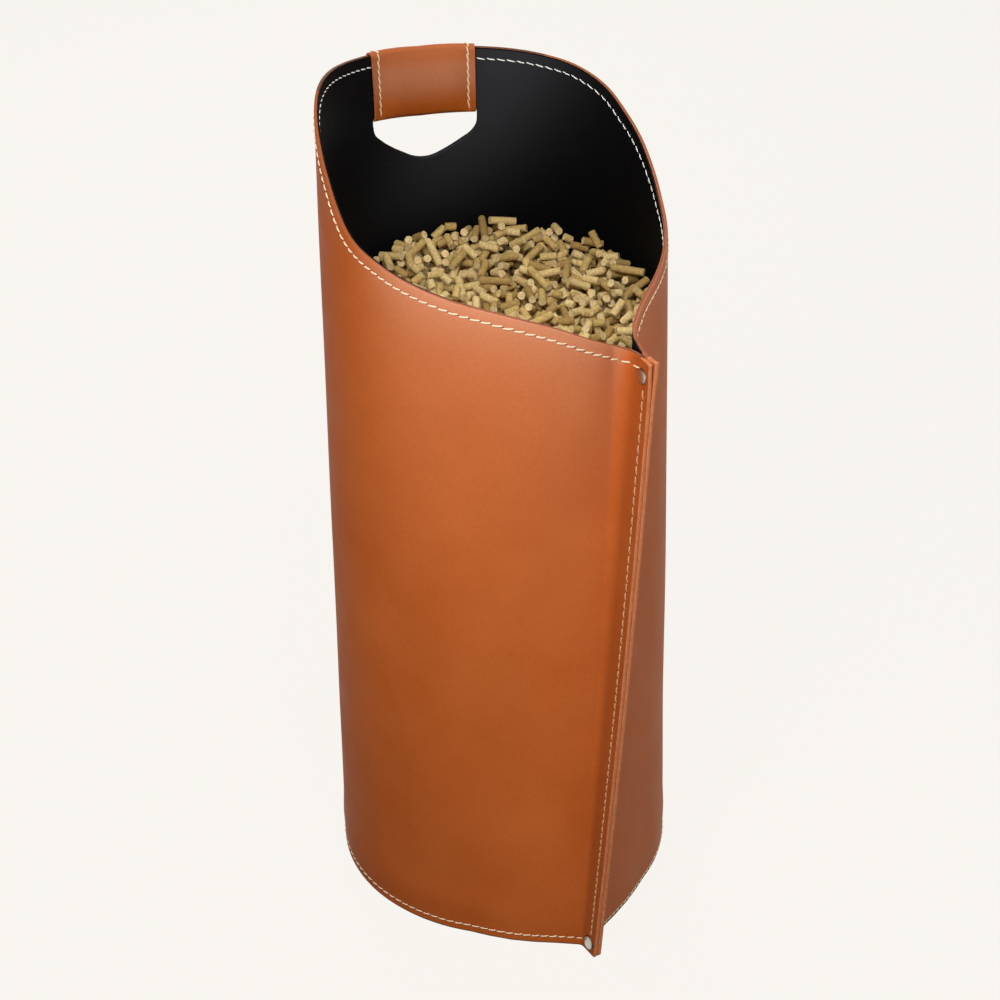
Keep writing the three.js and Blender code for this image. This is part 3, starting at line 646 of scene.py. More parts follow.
def piece_from(name, points, faces, materials, face_materials=None, sharp_angle=50, painted_light_and_wear=None):
    """A closed mesh piece from points in millimetres, with its faces turned outwards."""
    mesh = bpy.data.meshes.new(name)
    mesh.from_pydata(in_frame(points).tolist(), [], faces)
    for material in materials:
        mesh.materials.append(material)
    if face_materials is not None:
        mesh.polygons.foreach_set("material_index", np.asarray(face_materials, dtype=np.int32))
    if painted_light_and_wear is not None:
        light_and_wear = mesh.attributes.new("painted_light_and_wear", "FLOAT", "POINT")
        light_and_wear.data.foreach_set("value", np.asarray(painted_light_and_wear, float))
    shape = bmesh.new()
    shape.from_mesh(mesh)
    loose = [point for point in shape.verts if not point.link_faces]
    bmesh.ops.delete(shape, geom=loose, context="VERTS")
    bmesh.ops.recalc_face_normals(shape, faces=shape.faces)
    shape.to_mesh(mesh)
    shape.free()
    mesh.polygons.foreach_set("use_smooth", [True] * len(mesh.polygons))
    mesh.set_sharp_from_angle(angle=radians(sharp_angle))
    return placed(name, mesh)


def dress(piece, slot, *nodes):
    """The piece stands for these CAD nodes and rides on the bag's one body."""
    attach(piece, "root")
    if nodes:
        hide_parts(*nodes)


# The outer leather and its lining

# Where the wall's columns and rows lie, in from its edges and up from its foot
EDGE_INSETS = [0.55, 0.18, 0.0]
EDGE_DEPTHS = [0.0, 0.13, 0.42]
RIM_INSETS = [22, 18, 15, 12.6, 11, 10, 9.4, 9, 8.6, 8, 7, 5.4, 3.6, 2, 1.1]
FOOT_HEIGHTS = [
    1.1, 1.9, 2.6, 3.2, 3.8, 4.5, 5.3, 6.0, 6.5, 7.0, 7.8, 9, 11, 14, 18, 22, 26, 31, 38, 46,
]
SEAM_INSETS = [9.6, 8.2, 7.2, 6.5, 6.0, 5.5, 4.8, 3.6, 2.2, 1.1]
HOLE_XS = [
    0, 3, 6, 9, 12, 15, 18, 21, 24, 27, 30, 33, 35.3, 37.3, 39, 40.3, 41.2, 41.8, 42.2, 42.4, 42.5,
]
HOLE_BORDER = 2
COLUMN_STEP = 3.2
FLANK_SHARES = [0.2, 0.4, 0.6, 0.8, 1.0]
FOLD_SHARES = [0.1, 0.2, 0.3, 0.4, 0.5, 0.6, 0.7, 0.8, 0.9, 1.0]
LOWER_ROWS = 46
HOLE_ROWS = 5
BAR_ROWS = 4
GROOVE_DEPTH = 0.28
GROOVE_HALF_WIDTH = 1.0
SEAM_GROOVE_BOTTOM = 14
SEAM_GROOVE_TOP = 500
SEAM_GROOVE_RUN = 4


def hole_outline():
    """The hand hole's lower outline, square on, from its left side to its right."""
    half_angle = np.arcsin(HOLE_HALF_WIDTH / TUBE_RADIUS)
    first_top, last_top = (
        np.array([side * HOLE_HALF_WIDTH, rim_height(side, half_angle / SWEEP[side]) - BAR_HEIGHT])
        for side in (LEFT, RIGHT)
    )
    first, last = first_top - [0, HOLE_SIDE_DROP], last_top - [0, HOLE_SIDE_DROP]
    tip = np.array([0.0, rim_height(LEFT, 0.0) - BAR_HEIGHT - HOLE_DROP])
    t = np.linspace(0, 1, 33)[:, None]
    turns = []
    for before, corner, after, reach in (
        (first_top, first, tip, HOLE_CORNER_REACH),
        (first, tip, last, HOLE_POINT_REACH),
        (tip, last, last_top, HOLE_CORNER_REACH),
    ):
        start = corner + unit(before - corner) * reach
        end = corner + unit(after - corner) * reach
        turns.append((1 - t) ** 2 * start + 2 * t * (1 - t) * corner + t ** 2 * end)
    return np.concatenate(turns)


HOLE_OUTLINE = hole_outline()


def wall_columns():
    """The columns of the wall from the seam's left edge, round the back, to its right edge."""
    columns = []
    for side in (LEFT, RIGHT):
        parts = [("back", np.arcsin(x / TUBE_RADIUS) / SWEEP[side], x) for x in HOLE_XS]
        start = float(np.arcsin((HOLE_XS[-1] + 0.5) / TUBE_RADIUS) / SWEEP[side])
        count = int(round((1 - start) * SWEEP[side] * TUBE_RADIUS / COLUMN_STEP))
        parts += [("back", mix(start, 1, step / count), None) for step in range(count + 1)]
        parts += [("flank", share, None) for share in FLANK_SHARES]
        parts += [("fold", share, None) for share in FOLD_SHARES]
        parts += [("seam_mid", 0.5, None)]
        parts += [("seam", inset, None) for inset in SEAM_INSETS + EDGE_INSETS]
        half = [{"side": side, "part": part, "share": share, "x": x} for part, share, x in parts]
        columns += half[::-1] if side == LEFT else half[1:]
    return columns


def column_ways(column, heights):
    """A column's way at some heights. Columns on the seam keep their distance from its edge."""
    part, share = column["part"], column["share"]
    if part in ("back", "flank", "fold"):
        return np.full_like(heights, {"back": 0, "flank": 1, "fold": 2}[part] + share)
    section = wall_section(column["side"], heights)
    flat = seam_flat(section)
    inset = share if part == "seam" else mix(SEAM_INSETS[0], flat, share)
    return 4 - inset / flat


def column_rows(column):
    """The heights of one column's rows, and which rows bound the hand hole."""
    side = column["side"]
    top_way = column_ways(column, np.array([SEAM_CORNER_HEIGHT]))[0]
    rim, stretch = (float(value) for value in rim_at(side, np.array(top_way)))
    upper = rim - BAR_HEIGHT
    lower = upper - (HOLE_SIDE_DROP - HOLE_CORNER_REACH)
    if column["x"] is not None:
        across = column["x"] * side
        fullness = np.interp(across, *zip(*HOLE_FULLNESS))
        lower = float(np.interp(across, *HOLE_OUTLINE.T) - fullness)
    shares = np.arange(1, LOWER_ROWS + 2) / (LOWER_ROWS + 1)
    heights = EDGE_INSETS[::-1] + FOOT_HEIGHTS
    heights += [mix(FOOT_HEIGHTS[-1], lower - HOLE_BORDER, share) for share in shares]
    heights += [lower - inset for inset in EDGE_INSETS]
    lower_row = len(heights) - 1
    heights += [mix(lower, upper, step / HOLE_ROWS) for step in range(1, HOLE_ROWS + 1)]
    upper_row = len(heights) - 1
    bar_top = rim - RIM_INSETS[0] * stretch
    heights += [mix(upper, bar_top, step / (BAR_ROWS + 1)) for step in range(1, BAR_ROWS + 1)]
    heights += [rim - inset * stretch for inset in RIM_INSETS]
    heights += [rim - inset for inset in EDGE_INSETS]
    return np.array(heights), lower_row, upper_row, rim, stretch


# Painted sheen on the leather: a band that fades below the rim, a wider one along the front, and the
# whole right panel; and painted shade on the seam and its fold
RIM_BAND = 26
FRONT_BAND = 130
FRONT_SHARES = (0.67, 0.33)
RIGHT_BAND_SHEEN = 0.3
RIGHT_PANEL_SHEEN = 0.36
FOLD_SHEEN = 0.9
SEAM_SHEEN = 0.08
SEAM_SHADE_SHARE = 0.38

# Where on the round back the lining's rim begins to wear, and over what share it wears through
LINING_RIM_WEAR = {LEFT: (0.62, 0.22), RIGHT: (0.66, 0.24)}

# The lining's painted grey sheen: the angle of its middle and its lean at a height, its spread, and
# where it begins above the pellets
SHEEN_ANGLE = 184
SHEEN_HEIGHT = 592
SHEEN_LEAN = 0.2
SHEEN_SPREAD = radians(26)
SHEEN_BOTTOM = 462
SHEEN_RUN = 115


def painted_sheen_and_shade(column, below_rim, facing):
    """How strong the painted sheen is: most along the front of the rim, a little far below it, and
    evenly on the right of the seam. Below zero, on the seam and its fold, it is painted shade."""
    if column["side"] == RIGHT:
        panel = eased((radians(140) - np.abs(facing)) / radians(50))
        return RIGHT_BAND_SHEEN * np.exp(-below_rim / RIM_BAND) + RIGHT_PANEL_SHEEN * panel
    ahead = eased((np.cos(facing) - 0.55) / 0.38)
    seam_shading = 0.0
    if column["part"] in ("seam_mid", "seam"):
        ahead, seam_shading = np.full_like(ahead, SEAM_SHEEN), 1.0
    elif column["part"] == "fold":
        seam_shading = eased(column["share"])
        ahead = np.full_like(ahead, mix(FOLD_SHEEN, SEAM_SHEEN, seam_shading))
    near, wide = FRONT_SHARES
    worn_and_painted_sheen = near * np.exp(-below_rim / RIM_BAND) + wide * np.exp(-below_rim / FRONT_BAND)
    return ahead * worn_and_painted_sheen - SEAM_SHADE_SHARE * seam_shading


def rim_wear(column):
    """How much of the lining's black has gone from its rim: none at the back, all by the seam."""
    if column["part"] != "back":
        return 1.0
    start, run = LINING_RIM_WEAR[column["side"]]
    return float(eased((column["share"] - start) / run))


def painted_grey_sheen(angle, height):
    """How much painted grey sheen the lining has: most in the middle of its back, above the pellets.
    """
    middle = np.radians(SHEEN_ANGLE - SHEEN_LEAN * (height - SHEEN_HEIGHT))
    from_middle = np.mod(angle, 2 * np.pi) - middle
    return bell(from_middle, SHEEN_SPREAD) * eased((height - SHEEN_BOTTOM) / SHEEN_RUN)


def wall_grid(columns, near, far, seam_far, grooved):
    """Points of the wall's two faces at depths near and far, with rounded edges. On the flat seam
    the far face lies at depth seam_far."""
    near_faces, far_faces, painted_light_and_wear = [], [], []
    for column in columns:
        heights, lower_row, upper_row, rim, stretch = column_rows(column)
        ways = column_ways(column, heights)
        rounding = np.zeros_like(heights)
        rounding[:3] = EDGE_DEPTHS[::-1]
        rounding[-3:] = EDGE_DEPTHS
        if column["part"] == "seam" and column["share"] in EDGE_INSETS:
            edge_depth = EDGE_DEPTHS[EDGE_INSETS.index(column["share"])]
            rounding = np.maximum(rounding, edge_depth)
        if column["x"] is not None and column["x"] < HOLE_HALF_WIDTH:
            rounding[lower_row - 2:lower_row + 1] = EDGE_DEPTHS
        if column["x"] == HOLE_HALF_WIDTH:
            rounding[lower_row:upper_row + 1] = EDGE_DEPTHS[-1]
        groove = np.zeros_like(heights)
        if grooved and column["part"] == "seam":
            begun = eased((heights - SEAM_GROOVE_BOTTOM) / SEAM_GROOVE_RUN)
            left = eased((SEAM_GROOVE_TOP - heights) / SEAM_GROOVE_RUN)
            groove = begun * left * bell(column["share"] - SEAM_STITCH_INSET, GROOVE_HALF_WIDTH)
        elif grooved:
            from_rim = (rim - heights) / stretch - RIM_STITCH_INSET
            from_base = heights - base_stitch_height(column["side"], ways)
            groove = bell(from_rim, GROOVE_HALF_WIDTH) + bell(from_base, GROOVE_HALF_WIDTH)
        back = seam_far if column["part"] == "seam" else far
        near_points, outward = wall_place(
            column["side"], ways, heights, near + rounding + GROOVE_DEPTH * groove)
        far_points, _ = wall_place(column["side"], ways, heights, back - rounding)
        facing = facing_of(outward)
        # On the outer leather these values are painted sheen and shade; on the lining, its painted
        # grey sheen, and real wear at its rim
        if near == 0:
            light_and_wear = painted_sheen_and_shade(column, rim - heights, facing)
        else:
            light_and_wear = painted_grey_sheen(facing, heights)
            light_and_wear[-len(EDGE_INSETS):] = rim_wear(column)
        painted_light_and_wear.append(light_and_wear)
        near_faces.append(near_points)
        far_faces.append(far_points)
    return np.array(near_faces), np.array(far_faces), np.array(painted_light_and_wear), lower_row, upper_row


FACE, RIM, FOOT, SEAM, HOLE = range(5)
FOOT_EDGE_ROWS = 3


def wall_piece(name, columns, near, far, seam_far, grooved, finishes_for):
    """One layer of the wall as a closed sheet with the hand hole through it. finishes_for gives a
    column's finishes for its faces, its rim, its foot, its seam edge and the hand hole's edge."""
    outer, inner, painted_light_and_wear, lower_row, upper_row = wall_grid(columns, near, far, seam_far, grooved)
    count, rows = outer.shape[:2]
    points = np.concatenate([outer.reshape(-1, 3), inner.reshape(-1, 3)])
    within, joining = two_grids(count, rows)
    faces, finishes, materials = [], [], []

    def add_face(corners, column, kind):
        material = finishes_for(columns[column])[kind]
        if material not in materials:
            materials.append(material)
        faces.append(corners)
        finishes.append(materials.index(material))

    in_hole = [
        columns[at]["x"] is not None and columns[at + 1]["x"] is not None for at in range(count - 1)
    ]
    edge_columns = [0, count - 2]
    for column in range(count - 1):
        for row in range(rows - 1):
            if in_hole[column] and lower_row <= row < upper_row:
                continue
            kind = FACE
            if column in edge_columns:
                kind = SEAM
            elif row == rows - 2:
                kind = RIM
            elif row < FOOT_EDGE_ROWS + 2 * (columns[column]["side"] == RIGHT):
                kind = FOOT
            elif in_hole[column] and row in (lower_row - 2, lower_row - 1, upper_row):
                kind = HOLE
            for grid in (0, 1):
                add_face(within(grid, column, row), column, kind)
        rims = [(0, FOOT), (rows - 1, RIM)]
        if in_hole[column]:
            rims += [(lower_row, HOLE), (upper_row, HOLE)]
        for row, kind in rims:
            add_face(joining((column, row), (column + 1, row)), column, kind)
    ends = [(0, 0, rows - 1, SEAM), (count - 1, 0, rows - 1, SEAM)]
    for column in range(1, count - 1):
        if in_hole[column] != in_hole[column - 1]:
            ends.append((column, lower_row, upper_row, HOLE))
    for column, first, last, kind in ends:
        for row in range(first, last):
            add_face(joining((column, row), (column, row + 1)), column, kind)
    painted_light_and_wear = np.concatenate([painted_light_and_wear.ravel(), painted_light_and_wear.ravel()])
    return piece_from(name, points, faces, materials, finishes, sharp_angle=60, painted_light_and_wear=painted_light_and_wear)


def leather_finishes(column):
    """The cut edge is pale at the seam, paler along the front with the leather's painted sheen, and
    dark at the back and foot.
    """
    rim = RIM_EDGE
    if column["part"] == "seam":
        rim = CUT_EDGE
    elif column["part"] == "back" and column["share"] < 0.3:
        rim = DARK_EDGE_AND_HOLE_SHADE
    return TAN_LEATHER, rim, DARK_EDGE_AND_HOLE_SHADE, CUT_EDGE, BLACK_LINING


def lining_finishes(column):
    """The lining's edge shows black, but along the front its black has gone to the leather's edge
    colour.
    """
    worn_and_painted_sheen = column["part"] != "back" or column["share"] > 0.6
    return BLACK_LINING, LINING_EDGE if worn_and_painted_sheen else BLACK_LINING, *[BLACK_LINING] * 3


WALL_COLUMNS = wall_columns()
LINED_COLUMNS = [column for column in WALL_COLUMNS if column["part"] != "seam"]
outer_leather = wall_piece(
    "tan_outer_leather", WALL_COLUMNS, 0.0, LEATHER_DEPTH, SEAM_LEATHER_DEPTH, True,
    leather_finishes)
dress(outer_leather, "tan_leather", "outer_leather")
inner_lining = wall_piece(
    "black_inner_lining", LINED_COLUMNS, LEATHER_DEPTH, WALL_DEPTH, WALL_DEPTH, False,
    lining_finishes)
dress(inner_lining, "black_lining", "inner_lining")


# The padded grip: a crowned leather sleeve round the bar above the hand hole

GRIP_LEATHER_DEPTH = 1.5
GRIP_AIR = 0.3
GRIP_LIFT = 0.4
SLEEVE_LIFT = 0.5
PAD_LIFT = 4.2
PAD_RUN = 17
CREASE_DEPTH = 0.7
CREASE_WIDTH = 1.8
CREASE_HEAD_SHARE = 0.4
FOOT_LEFT_DROP = 1.3
FOOT_MIDDLE_DROP = 1.1
GRIP_SHEEN = 0.78
GRIP_LOOPS = 75
GRIP_FLARE = 0.03
GRIP_FACE_STEPS = 30
GRIP_TURN_STEPS = 10
GRIP_AROUND = 2 * (GRIP_FACE_STEPS + GRIP_TURN_STEPS)


def grip_rim(angle):
    """The rim's height over the bar at an angle."""
    turn = angle - GRIP_ANGLE
    side = LEFT if turn > 0 else RIGHT
    return rim_height(side, abs(turn) / SWEEP[side])


def grip_section(along, inward, away=0.0):
    """One loop of the sleeve and its outward directions, from the foot up the inner face, over the
    rim, down the outer face and round the foot. It is fullest above its middle, drawn in at the
    two stitch lines and thin at its ends."""
    angle = GRIP_ANGLE + along * GRIP_HALF_ANGLE
    from_end = (1 - abs(along)) * GRIP_WIDTH / 2
    from_line = from_end - GRIP_STITCH_INSET
    fill = eased(from_line / PAD_RUN) ** 0.75
    crease = CREASE_DEPTH * bell(from_line, CREASE_WIDTH)
    shell = WALL_DEPTH / 2 + GRIP_AIR + GRIP_LEATHER_DEPTH - inward
    head = grip_rim(angle) + GRIP_AIR + GRIP_LIFT + GRIP_LEATHER_DEPTH - inward
    head -= CREASE_HEAD_SHARE * crease
    foot = grip_rim(angle) - BAR_HEIGHT - GRIP_AIR - GRIP_LEATHER_DEPTH + inward
    foot -= FOOT_LEFT_DROP * max(along, 0) + FOOT_MIDDLE_DROP * (1 - along ** 2)
    rises = np.linspace(0, 1, GRIP_FACE_STEPS, endpoint=False)
    swell = np.sin(np.pi * np.clip(0.04 + 0.96 * rises, 0, 1) ** 0.85) ** 0.75
    bulge = (SLEEVE_LIFT + PAD_LIFT * fill) * swell - crease
    face_heights = mix(foot + shell, head - shell, rises)
    turns = np.pi * np.linspace(0, 1, GRIP_TURN_STEPS, endpoint=False)
    across = np.concatenate([
        -shell - bulge, -shell * np.cos(turns), (shell + bulge)[::-1], shell * np.cos(turns),
    ])
    heights = np.concatenate([
        face_heights, head - shell + shell * np.sin(turns), face_heights[::-1],
        foot + shell - shell * np.sin(turns),
    ])
    ahead_across, ahead_heights = (
        np.roll(values, -1) - np.roll(values, 1) for values in (across, heights))
    normals = unit(np.stack([-ahead_heights, ahead_across], axis=-1))
    flare = GRIP_HALF_ANGLE * GRIP_FLARE * max(along, 0) ** 3
    out = direction(angle + flare * eased((heights - foot) / (head - foot))).T
    radii = TUBE_RADIUS - WALL_DEPTH / 2 + across + normals[:, 0] * away
    heights = heights + normals[:, 1] * away
    points = np.column_stack([out[0] * radii, out[1] * radii, heights])
    outward = np.column_stack([out[0] * normals[:, 0], out[1] * normals[:, 0], normals[:, 1]])
    return points, outward


def grip_sleeve():
    """The sleeve as one shell, with cut edges at its two ends, and a painted sheen that makes it
    paler towards its top.
    """
    points = np.concatenate([
        grip_section(along, inward)[0]
        for inward in (0.0, GRIP_LEATHER_DEPTH) for along in np.linspace(-1, 1, GRIP_LOOPS)
    ])
    within, joining = two_grids(GRIP_LOOPS, GRIP_AROUND)
    steps = range(GRIP_AROUND)
    skins = [within(grid, loop, step) for grid in (0, 1) for loop in range(GRIP_LOOPS - 1)
             for step in steps]
    edges = [joining((loop, step), (loop, step + 1)) for loop in (0, GRIP_LOOPS - 1)
             for step in steps]
    up = np.concatenate([
        np.linspace(0, 1, GRIP_FACE_STEPS), np.ones(GRIP_TURN_STEPS),
        np.linspace(1, 0, GRIP_FACE_STEPS), np.zeros(GRIP_TURN_STEPS),
    ])
    # Painted sheen, strongest a little below the top of each face
    worn_and_painted_sheen = GRIP_SHEEN * eased((up - 0.08) / 0.55) * (1 - 0.5 * eased((up - 0.75) / 0.25))
    return piece_from(
        "padded_leather_grip", points, skins + edges, [GRIP_LEATHER, CUT_EDGE],
        [0] * len(skins) + [1] * len(edges), painted_light_and_wear=np.tile(worn_and_painted_sheen, 2 * GRIP_LOOPS))


grip = grip_sleeve()
dress(grip, "grip_leather", "grip_wrap", "grip_pad_inner", "grip_pad_outer")


# Node trees: a carrier mesh holds places, and a tree lays stitches or pellets on them

def new_tree(name, numbers, materials, result):
    """A node tree that takes places, numbers and materials, and its inputs' sockets."""
    tree = bpy.data.node_groups.new(name, "GeometryNodeTree")
    sockets = [("Places", "Geometry")]
    sockets += [(word, "Float") for word in numbers] + [(word, "Material") for word in materials]
    for word, kind in sockets:
        tree.interface.new_socket(word, in_out="INPUT", socket_type="NodeSocket" + kind)
    tree.interface.new_socket(result, in_out="OUTPUT", socket_type="NodeSocketGeometry")
    return tree, add_node(tree, "NodeGroupInput").outputs


def set_input(modifier, name, value):
    """Sets one of a node tree's inputs by its socket's identifier."""
    for item in modifier.node_group.interface.items_tree:
        if item.name == name and item.in_out == "INPUT":
            modifier[item.identifier] = value


def laid_piece(name, tree, places, attributes, inputs, sharp_angle=None):
    """What a node tree lays on places in millimetres, as a plain mesh piece."""
    mesh = bpy.data.meshes.new(name + "_places")
    mesh.from_pydata(in_frame(places).tolist(), [], [])
    for word, values in attributes.items():
        kind, field = ("FLOAT_VECTOR", "vector") if values.ndim == 2 else ("FLOAT", "value")
        mesh.attributes.new(word, kind, "POINT").data.foreach_set(field, values.ravel())
    carrier = placed(name + "_places", mesh)
    modifier = carrier.modifiers.new("laid", "NODES")
    modifier.node_group = tree
    for word, value in inputs.items():
        set_input(modifier, word, value)
    shown = carrier.evaluated_get(bpy.context.evaluated_depsgraph_get())
    plain = bpy.data.meshes.new_from_object(shown)
    plain.name = name
    if sharp_angle is not None:
        plain.set_sharp_from_angle(angle=radians(sharp_angle))
    carrier.modifiers.clear()
    bpy.data.objects.remove(carrier)
    return placed(name, plain)


# Stitches

STITCH_LENGTH = 6.0
STITCH_UNEVENNESS = 2.5
STITCH_LIFT = 0.1
THREAD_SUNK = -0.55
THREAD_CROWN = 1.15
AWL_HOLE_SHARE = 0.42


def stitching_tree():
    """Lays a bowed round stitch on each place, and between each two a small dark disc: painted shade
    for the awl hole.
    """
    tree, given = new_tree(
        "stitches_on_places",
        ["Stitch length", "Thread thickness", "Cover", "Slant", "Unevenness"],
        ["Thread", "Painted hole shade"], "Stitches")
    scaled = {
        (word, share): add_node(tree, "ShaderNodeMath", {
            0: given[word], 1: share,
        }, operation="MULTIPLY").outputs[0]
        for word, share in (
            ("Stitch length", -0.5), ("Stitch length", 0.5), ("Thread thickness", THREAD_SUNK),
            ("Thread thickness", THREAD_CROWN), ("Thread thickness", 0.5),
            ("Thread thickness", AWL_HOLE_SHARE),
        )
    }
    sunk = scaled["Thread thickness", THREAD_SUNK]
    start = add_node(tree, "ShaderNodeCombineXYZ", {"X": scaled["Stitch length", -0.5], "Z": sunk})
    crown = add_node(tree, "ShaderNodeCombineXYZ", {"Z": scaled["Thread thickness", THREAD_CROWN]})
    end = add_node(tree, "ShaderNodeCombineXYZ", {"X": scaled["Stitch length", 0.5], "Z": sunk})
    bend = add_node(tree, "GeometryNodeCurveQuadraticBezier", {
        "Resolution": 7, "Start": start.outputs[0], "Middle": crown.outputs[0],
        "End": end.outputs[0],
    })
    section = add_node(tree, "GeometryNodeCurvePrimitiveCircle", {
        "Resolution": 6, "Radius": scaled["Thread thickness", 0.5],
    })
    stitch = add_node(tree, "GeometryNodeCurveToMesh", {
        "Curve": bend.outputs["Curve"], "Profile Curve": section.outputs["Curve"],
        "Fill Caps": True,
    })

    # Each stitch covers its share of the pitch, lies along the line and faces out of the leather
    away, along, pitch, is_hole_shade = (
        add_node(tree, "GeometryNodeInputNamedAttribute", {
            "Name": name,
        }, data_type=data_type).outputs["Attribute"]
        for name, data_type in (
            ("away", "FLOAT_VECTOR"), ("along", "FLOAT_VECTOR"), ("pitch", "FLOAT"),
            ("painted_hole_shade", "BOOLEAN"),
        )
    )
    covered = add_node(tree, "ShaderNodeMath", {0: pitch, 1: given["Cover"]}, operation="MULTIPLY")
    stretch = add_node(tree, "ShaderNodeMath", {
        0: covered.outputs[0], 1: given["Stitch length"],
    }, operation="DIVIDE")
    size = add_node(tree, "ShaderNodeCombineXYZ", {"X": stretch.outputs[0], "Y": 1.0, "Z": 1.0})
    laid = add_node(tree, "FunctionNodeAlignRotationToVector", {"Vector": along}, axis="X")
    facing = add_node(tree, "FunctionNodeAlignRotationToVector", {
        "Rotation": laid.outputs["Rotation"], "Vector": away,
    }, axis="Z", pivot_axis="X")
    stitches = add_node(tree, "GeometryNodeInstanceOnPoints", {
        "Points": given["Places"], "Instance": stitch.outputs["Mesh"],
        "Rotation": facing.outputs["Rotation"], "Scale": size.outputs[0],
    })
    least, most = (
        add_node(tree, "ShaderNodeMath", {
            0: given["Slant"], 1: given["Unevenness"],
        }, operation=operation).outputs[0]
        for operation in ("SUBTRACT", "ADD")
    )
    chance = add_node(tree, "FunctionNodeRandomValue", {
        2: least, 3: most, "Seed": 5,
    }, data_type="FLOAT")
    twist = add_node(tree, "ShaderNodeCombineXYZ", {"Z": chance.outputs[1]})
    slanted = add_node(tree, "GeometryNodeRotateInstances", {
        "Instances": stitches.outputs["Instances"], "Rotation": twist.outputs[0],
    })

    # The awl holes' shade is painted on thin dark discs, half a pitch along from each stitch
    half_pitch = add_node(tree, "ShaderNodeMath", {
        0: scaled["Stitch length", 0.5], 1: given["Cover"],
    }, operation="DIVIDE")
    disc = add_node(tree, "GeometryNodeMeshCylinder", {
        "Vertices": 8, "Radius": scaled["Thread thickness", AWL_HOLE_SHARE], "Depth": 0.1 * MM,
    })
    aside = add_node(tree, "ShaderNodeCombineXYZ", {"X": half_pitch.outputs[0]})
    shifted = add_node(tree, "GeometryNodeTransform", {
        "Geometry": disc.outputs["Mesh"], "Translation": aside.outputs[0],
    })
    marked = add_node(tree, "GeometryNodeStoreNamedAttribute", {
        "Geometry": shifted.outputs["Geometry"], "Name": "painted_hole_shade", "Value": True,
    }, data_type="BOOLEAN", domain="FACE")
    hole_shades = add_node(tree, "GeometryNodeInstanceOnPoints", {
        "Points": given["Places"], "Instance": marked.outputs["Geometry"],
        "Rotation": facing.outputs["Rotation"], "Scale": size.outputs[0],
    })
    together = add_node(tree, "GeometryNodeJoinGeometry")
    tree.links.new(hole_shades.outputs["Instances"], together.inputs[0])
    tree.links.new(slanted.outputs["Instances"], together.inputs[0])
    real = add_node(tree, "GeometryNodeRealizeInstances", {"Geometry": together.outputs["Geometry"]})
    smooth = add_node(tree, "GeometryNodeSetShadeSmooth", {"Geometry": real.outputs["Geometry"]})
    finished = add_node(tree, "GeometryNodeSetMaterial", {
        "Geometry": smooth.outputs["Geometry"], "Material": given["Thread"],
    })
    finished = add_node(tree, "GeometryNodeSetMaterial", {
        "Geometry": finished.outputs["Geometry"], "Selection": is_hole_shade,
        "Material": given["Painted hole shade"],
    })
    add_node(tree, "NodeGroupOutput", {"Stitches": finished.outputs["Geometry"]})
    return tree


STITCHING = stitching_tree()


def stitch_line(name, line, node, slant, pitches, cover, thickness, thread=CREAM_THREAD):
    """A line of stitches: points in millimetres, and the ways that the leather under them faces.
    pitches pairs shares of the line with the distance between stitches there. A stitch covers a
    share of that distance."""
    points, outward = line
    steps = reach_of(np.diff(points, axis=0))
    lengths = summed(steps)
    shares, distances = np.array(pitches, float).T
    pitch = np.interp(lengths / lengths[-1], shares, distances)
    counted = summed(steps * 2 / (pitch[1:] + pitch[:-1]))
    whole = int(round(counted[-1]))
    marks = (np.arange(whole) + 0.5) * counted[-1] / whole

    def at_marks(values, shift=0.0):
        return np.column_stack([np.interp(marks + shift, counted, column) for column in values.T])

    dress(laid_piece(name, STITCHING, at_marks(points), {
        "away": at_marks(outward), "along": at_marks(points, 0.3) - at_marks(points, -0.3),
        "pitch": np.interp(marks, counted, pitch) * MM,
    }, {
        "Stitch length": STITCH_LENGTH * MM, "Thread thickness": thickness * MM, "Cover": cover,
        "Slant": radians(slant), "Unevenness": radians(STITCH_UNEVENNESS), "Thread": thread,
        # The awl holes' painted shade: the lining's black on the lining, the dark edge elsewhere
        "Painted hole shade": BLACK_LINING if thread is WHITE_THREAD else DARK_EDGE_AND_HOLE_SHADE,
    }), "thread", node)


RIM_PITCHES = {LEFT: [(0, 5.8), (0.45, 6.2), (0.72, 8.3), (1, 9.3)], RIGHT: [(0, 6.5), (1, 5.2)]}
RIM_LAST_WAY = {LEFT: 3.25, RIGHT: 2.2}
RIM_THREAD_THICKNESS = {LEFT: 1.35, RIGHT: 1.0}
LINING_PITCHES = {LEFT: [(0, 5.8), (1, 6.0)], RIGHT: [(0, 7.4), (0.5, 6.3), (1, 5.8)]}
LINING_LAST_WAY = 1.7
BASE_LAST_WAY = 2.75
SEAM_STITCHES_BOTTOM = 16.5
SEAM_STITCHES_TOP = 497


def ways_between(first, last, back_steps, front_steps):
    """Ways round the back from first, then along the flank, the fold and the seam to last."""
    return np.concatenate([
        np.linspace(first, 1, back_steps), np.linspace(1, last, front_steps)[1:],
    ])


def below_rim(side, grip_gap, last, front_steps, depth):
    """A line that keeps its distance from the rim, from beside the grip to its last way."""
    ways = ways_between((GRIP_HALF_ANGLE + grip_gap) / SWEEP[side], last, 240, front_steps)
    rims, stretch = rim_at(side, ways)
    return wall_place(side, ways, rims - RIM_STITCH_INSET * stretch, depth)


def rim_stitches(side, word):
    """The line below the rim on the outer face: cream, and coarser towards the seam's corner."""
    line = below_rim(side, 0.02, RIM_LAST_WAY[side], 60, GROOVE_DEPTH - STITCH_LIFT)
    stitch_line(
        f"rim_stitches_{word}_outer", line, f"rim_thread_{word}_outer", 12, RIM_PITCHES[side],
        cover=0.95, thickness=RIM_THREAD_THICKNESS[side])


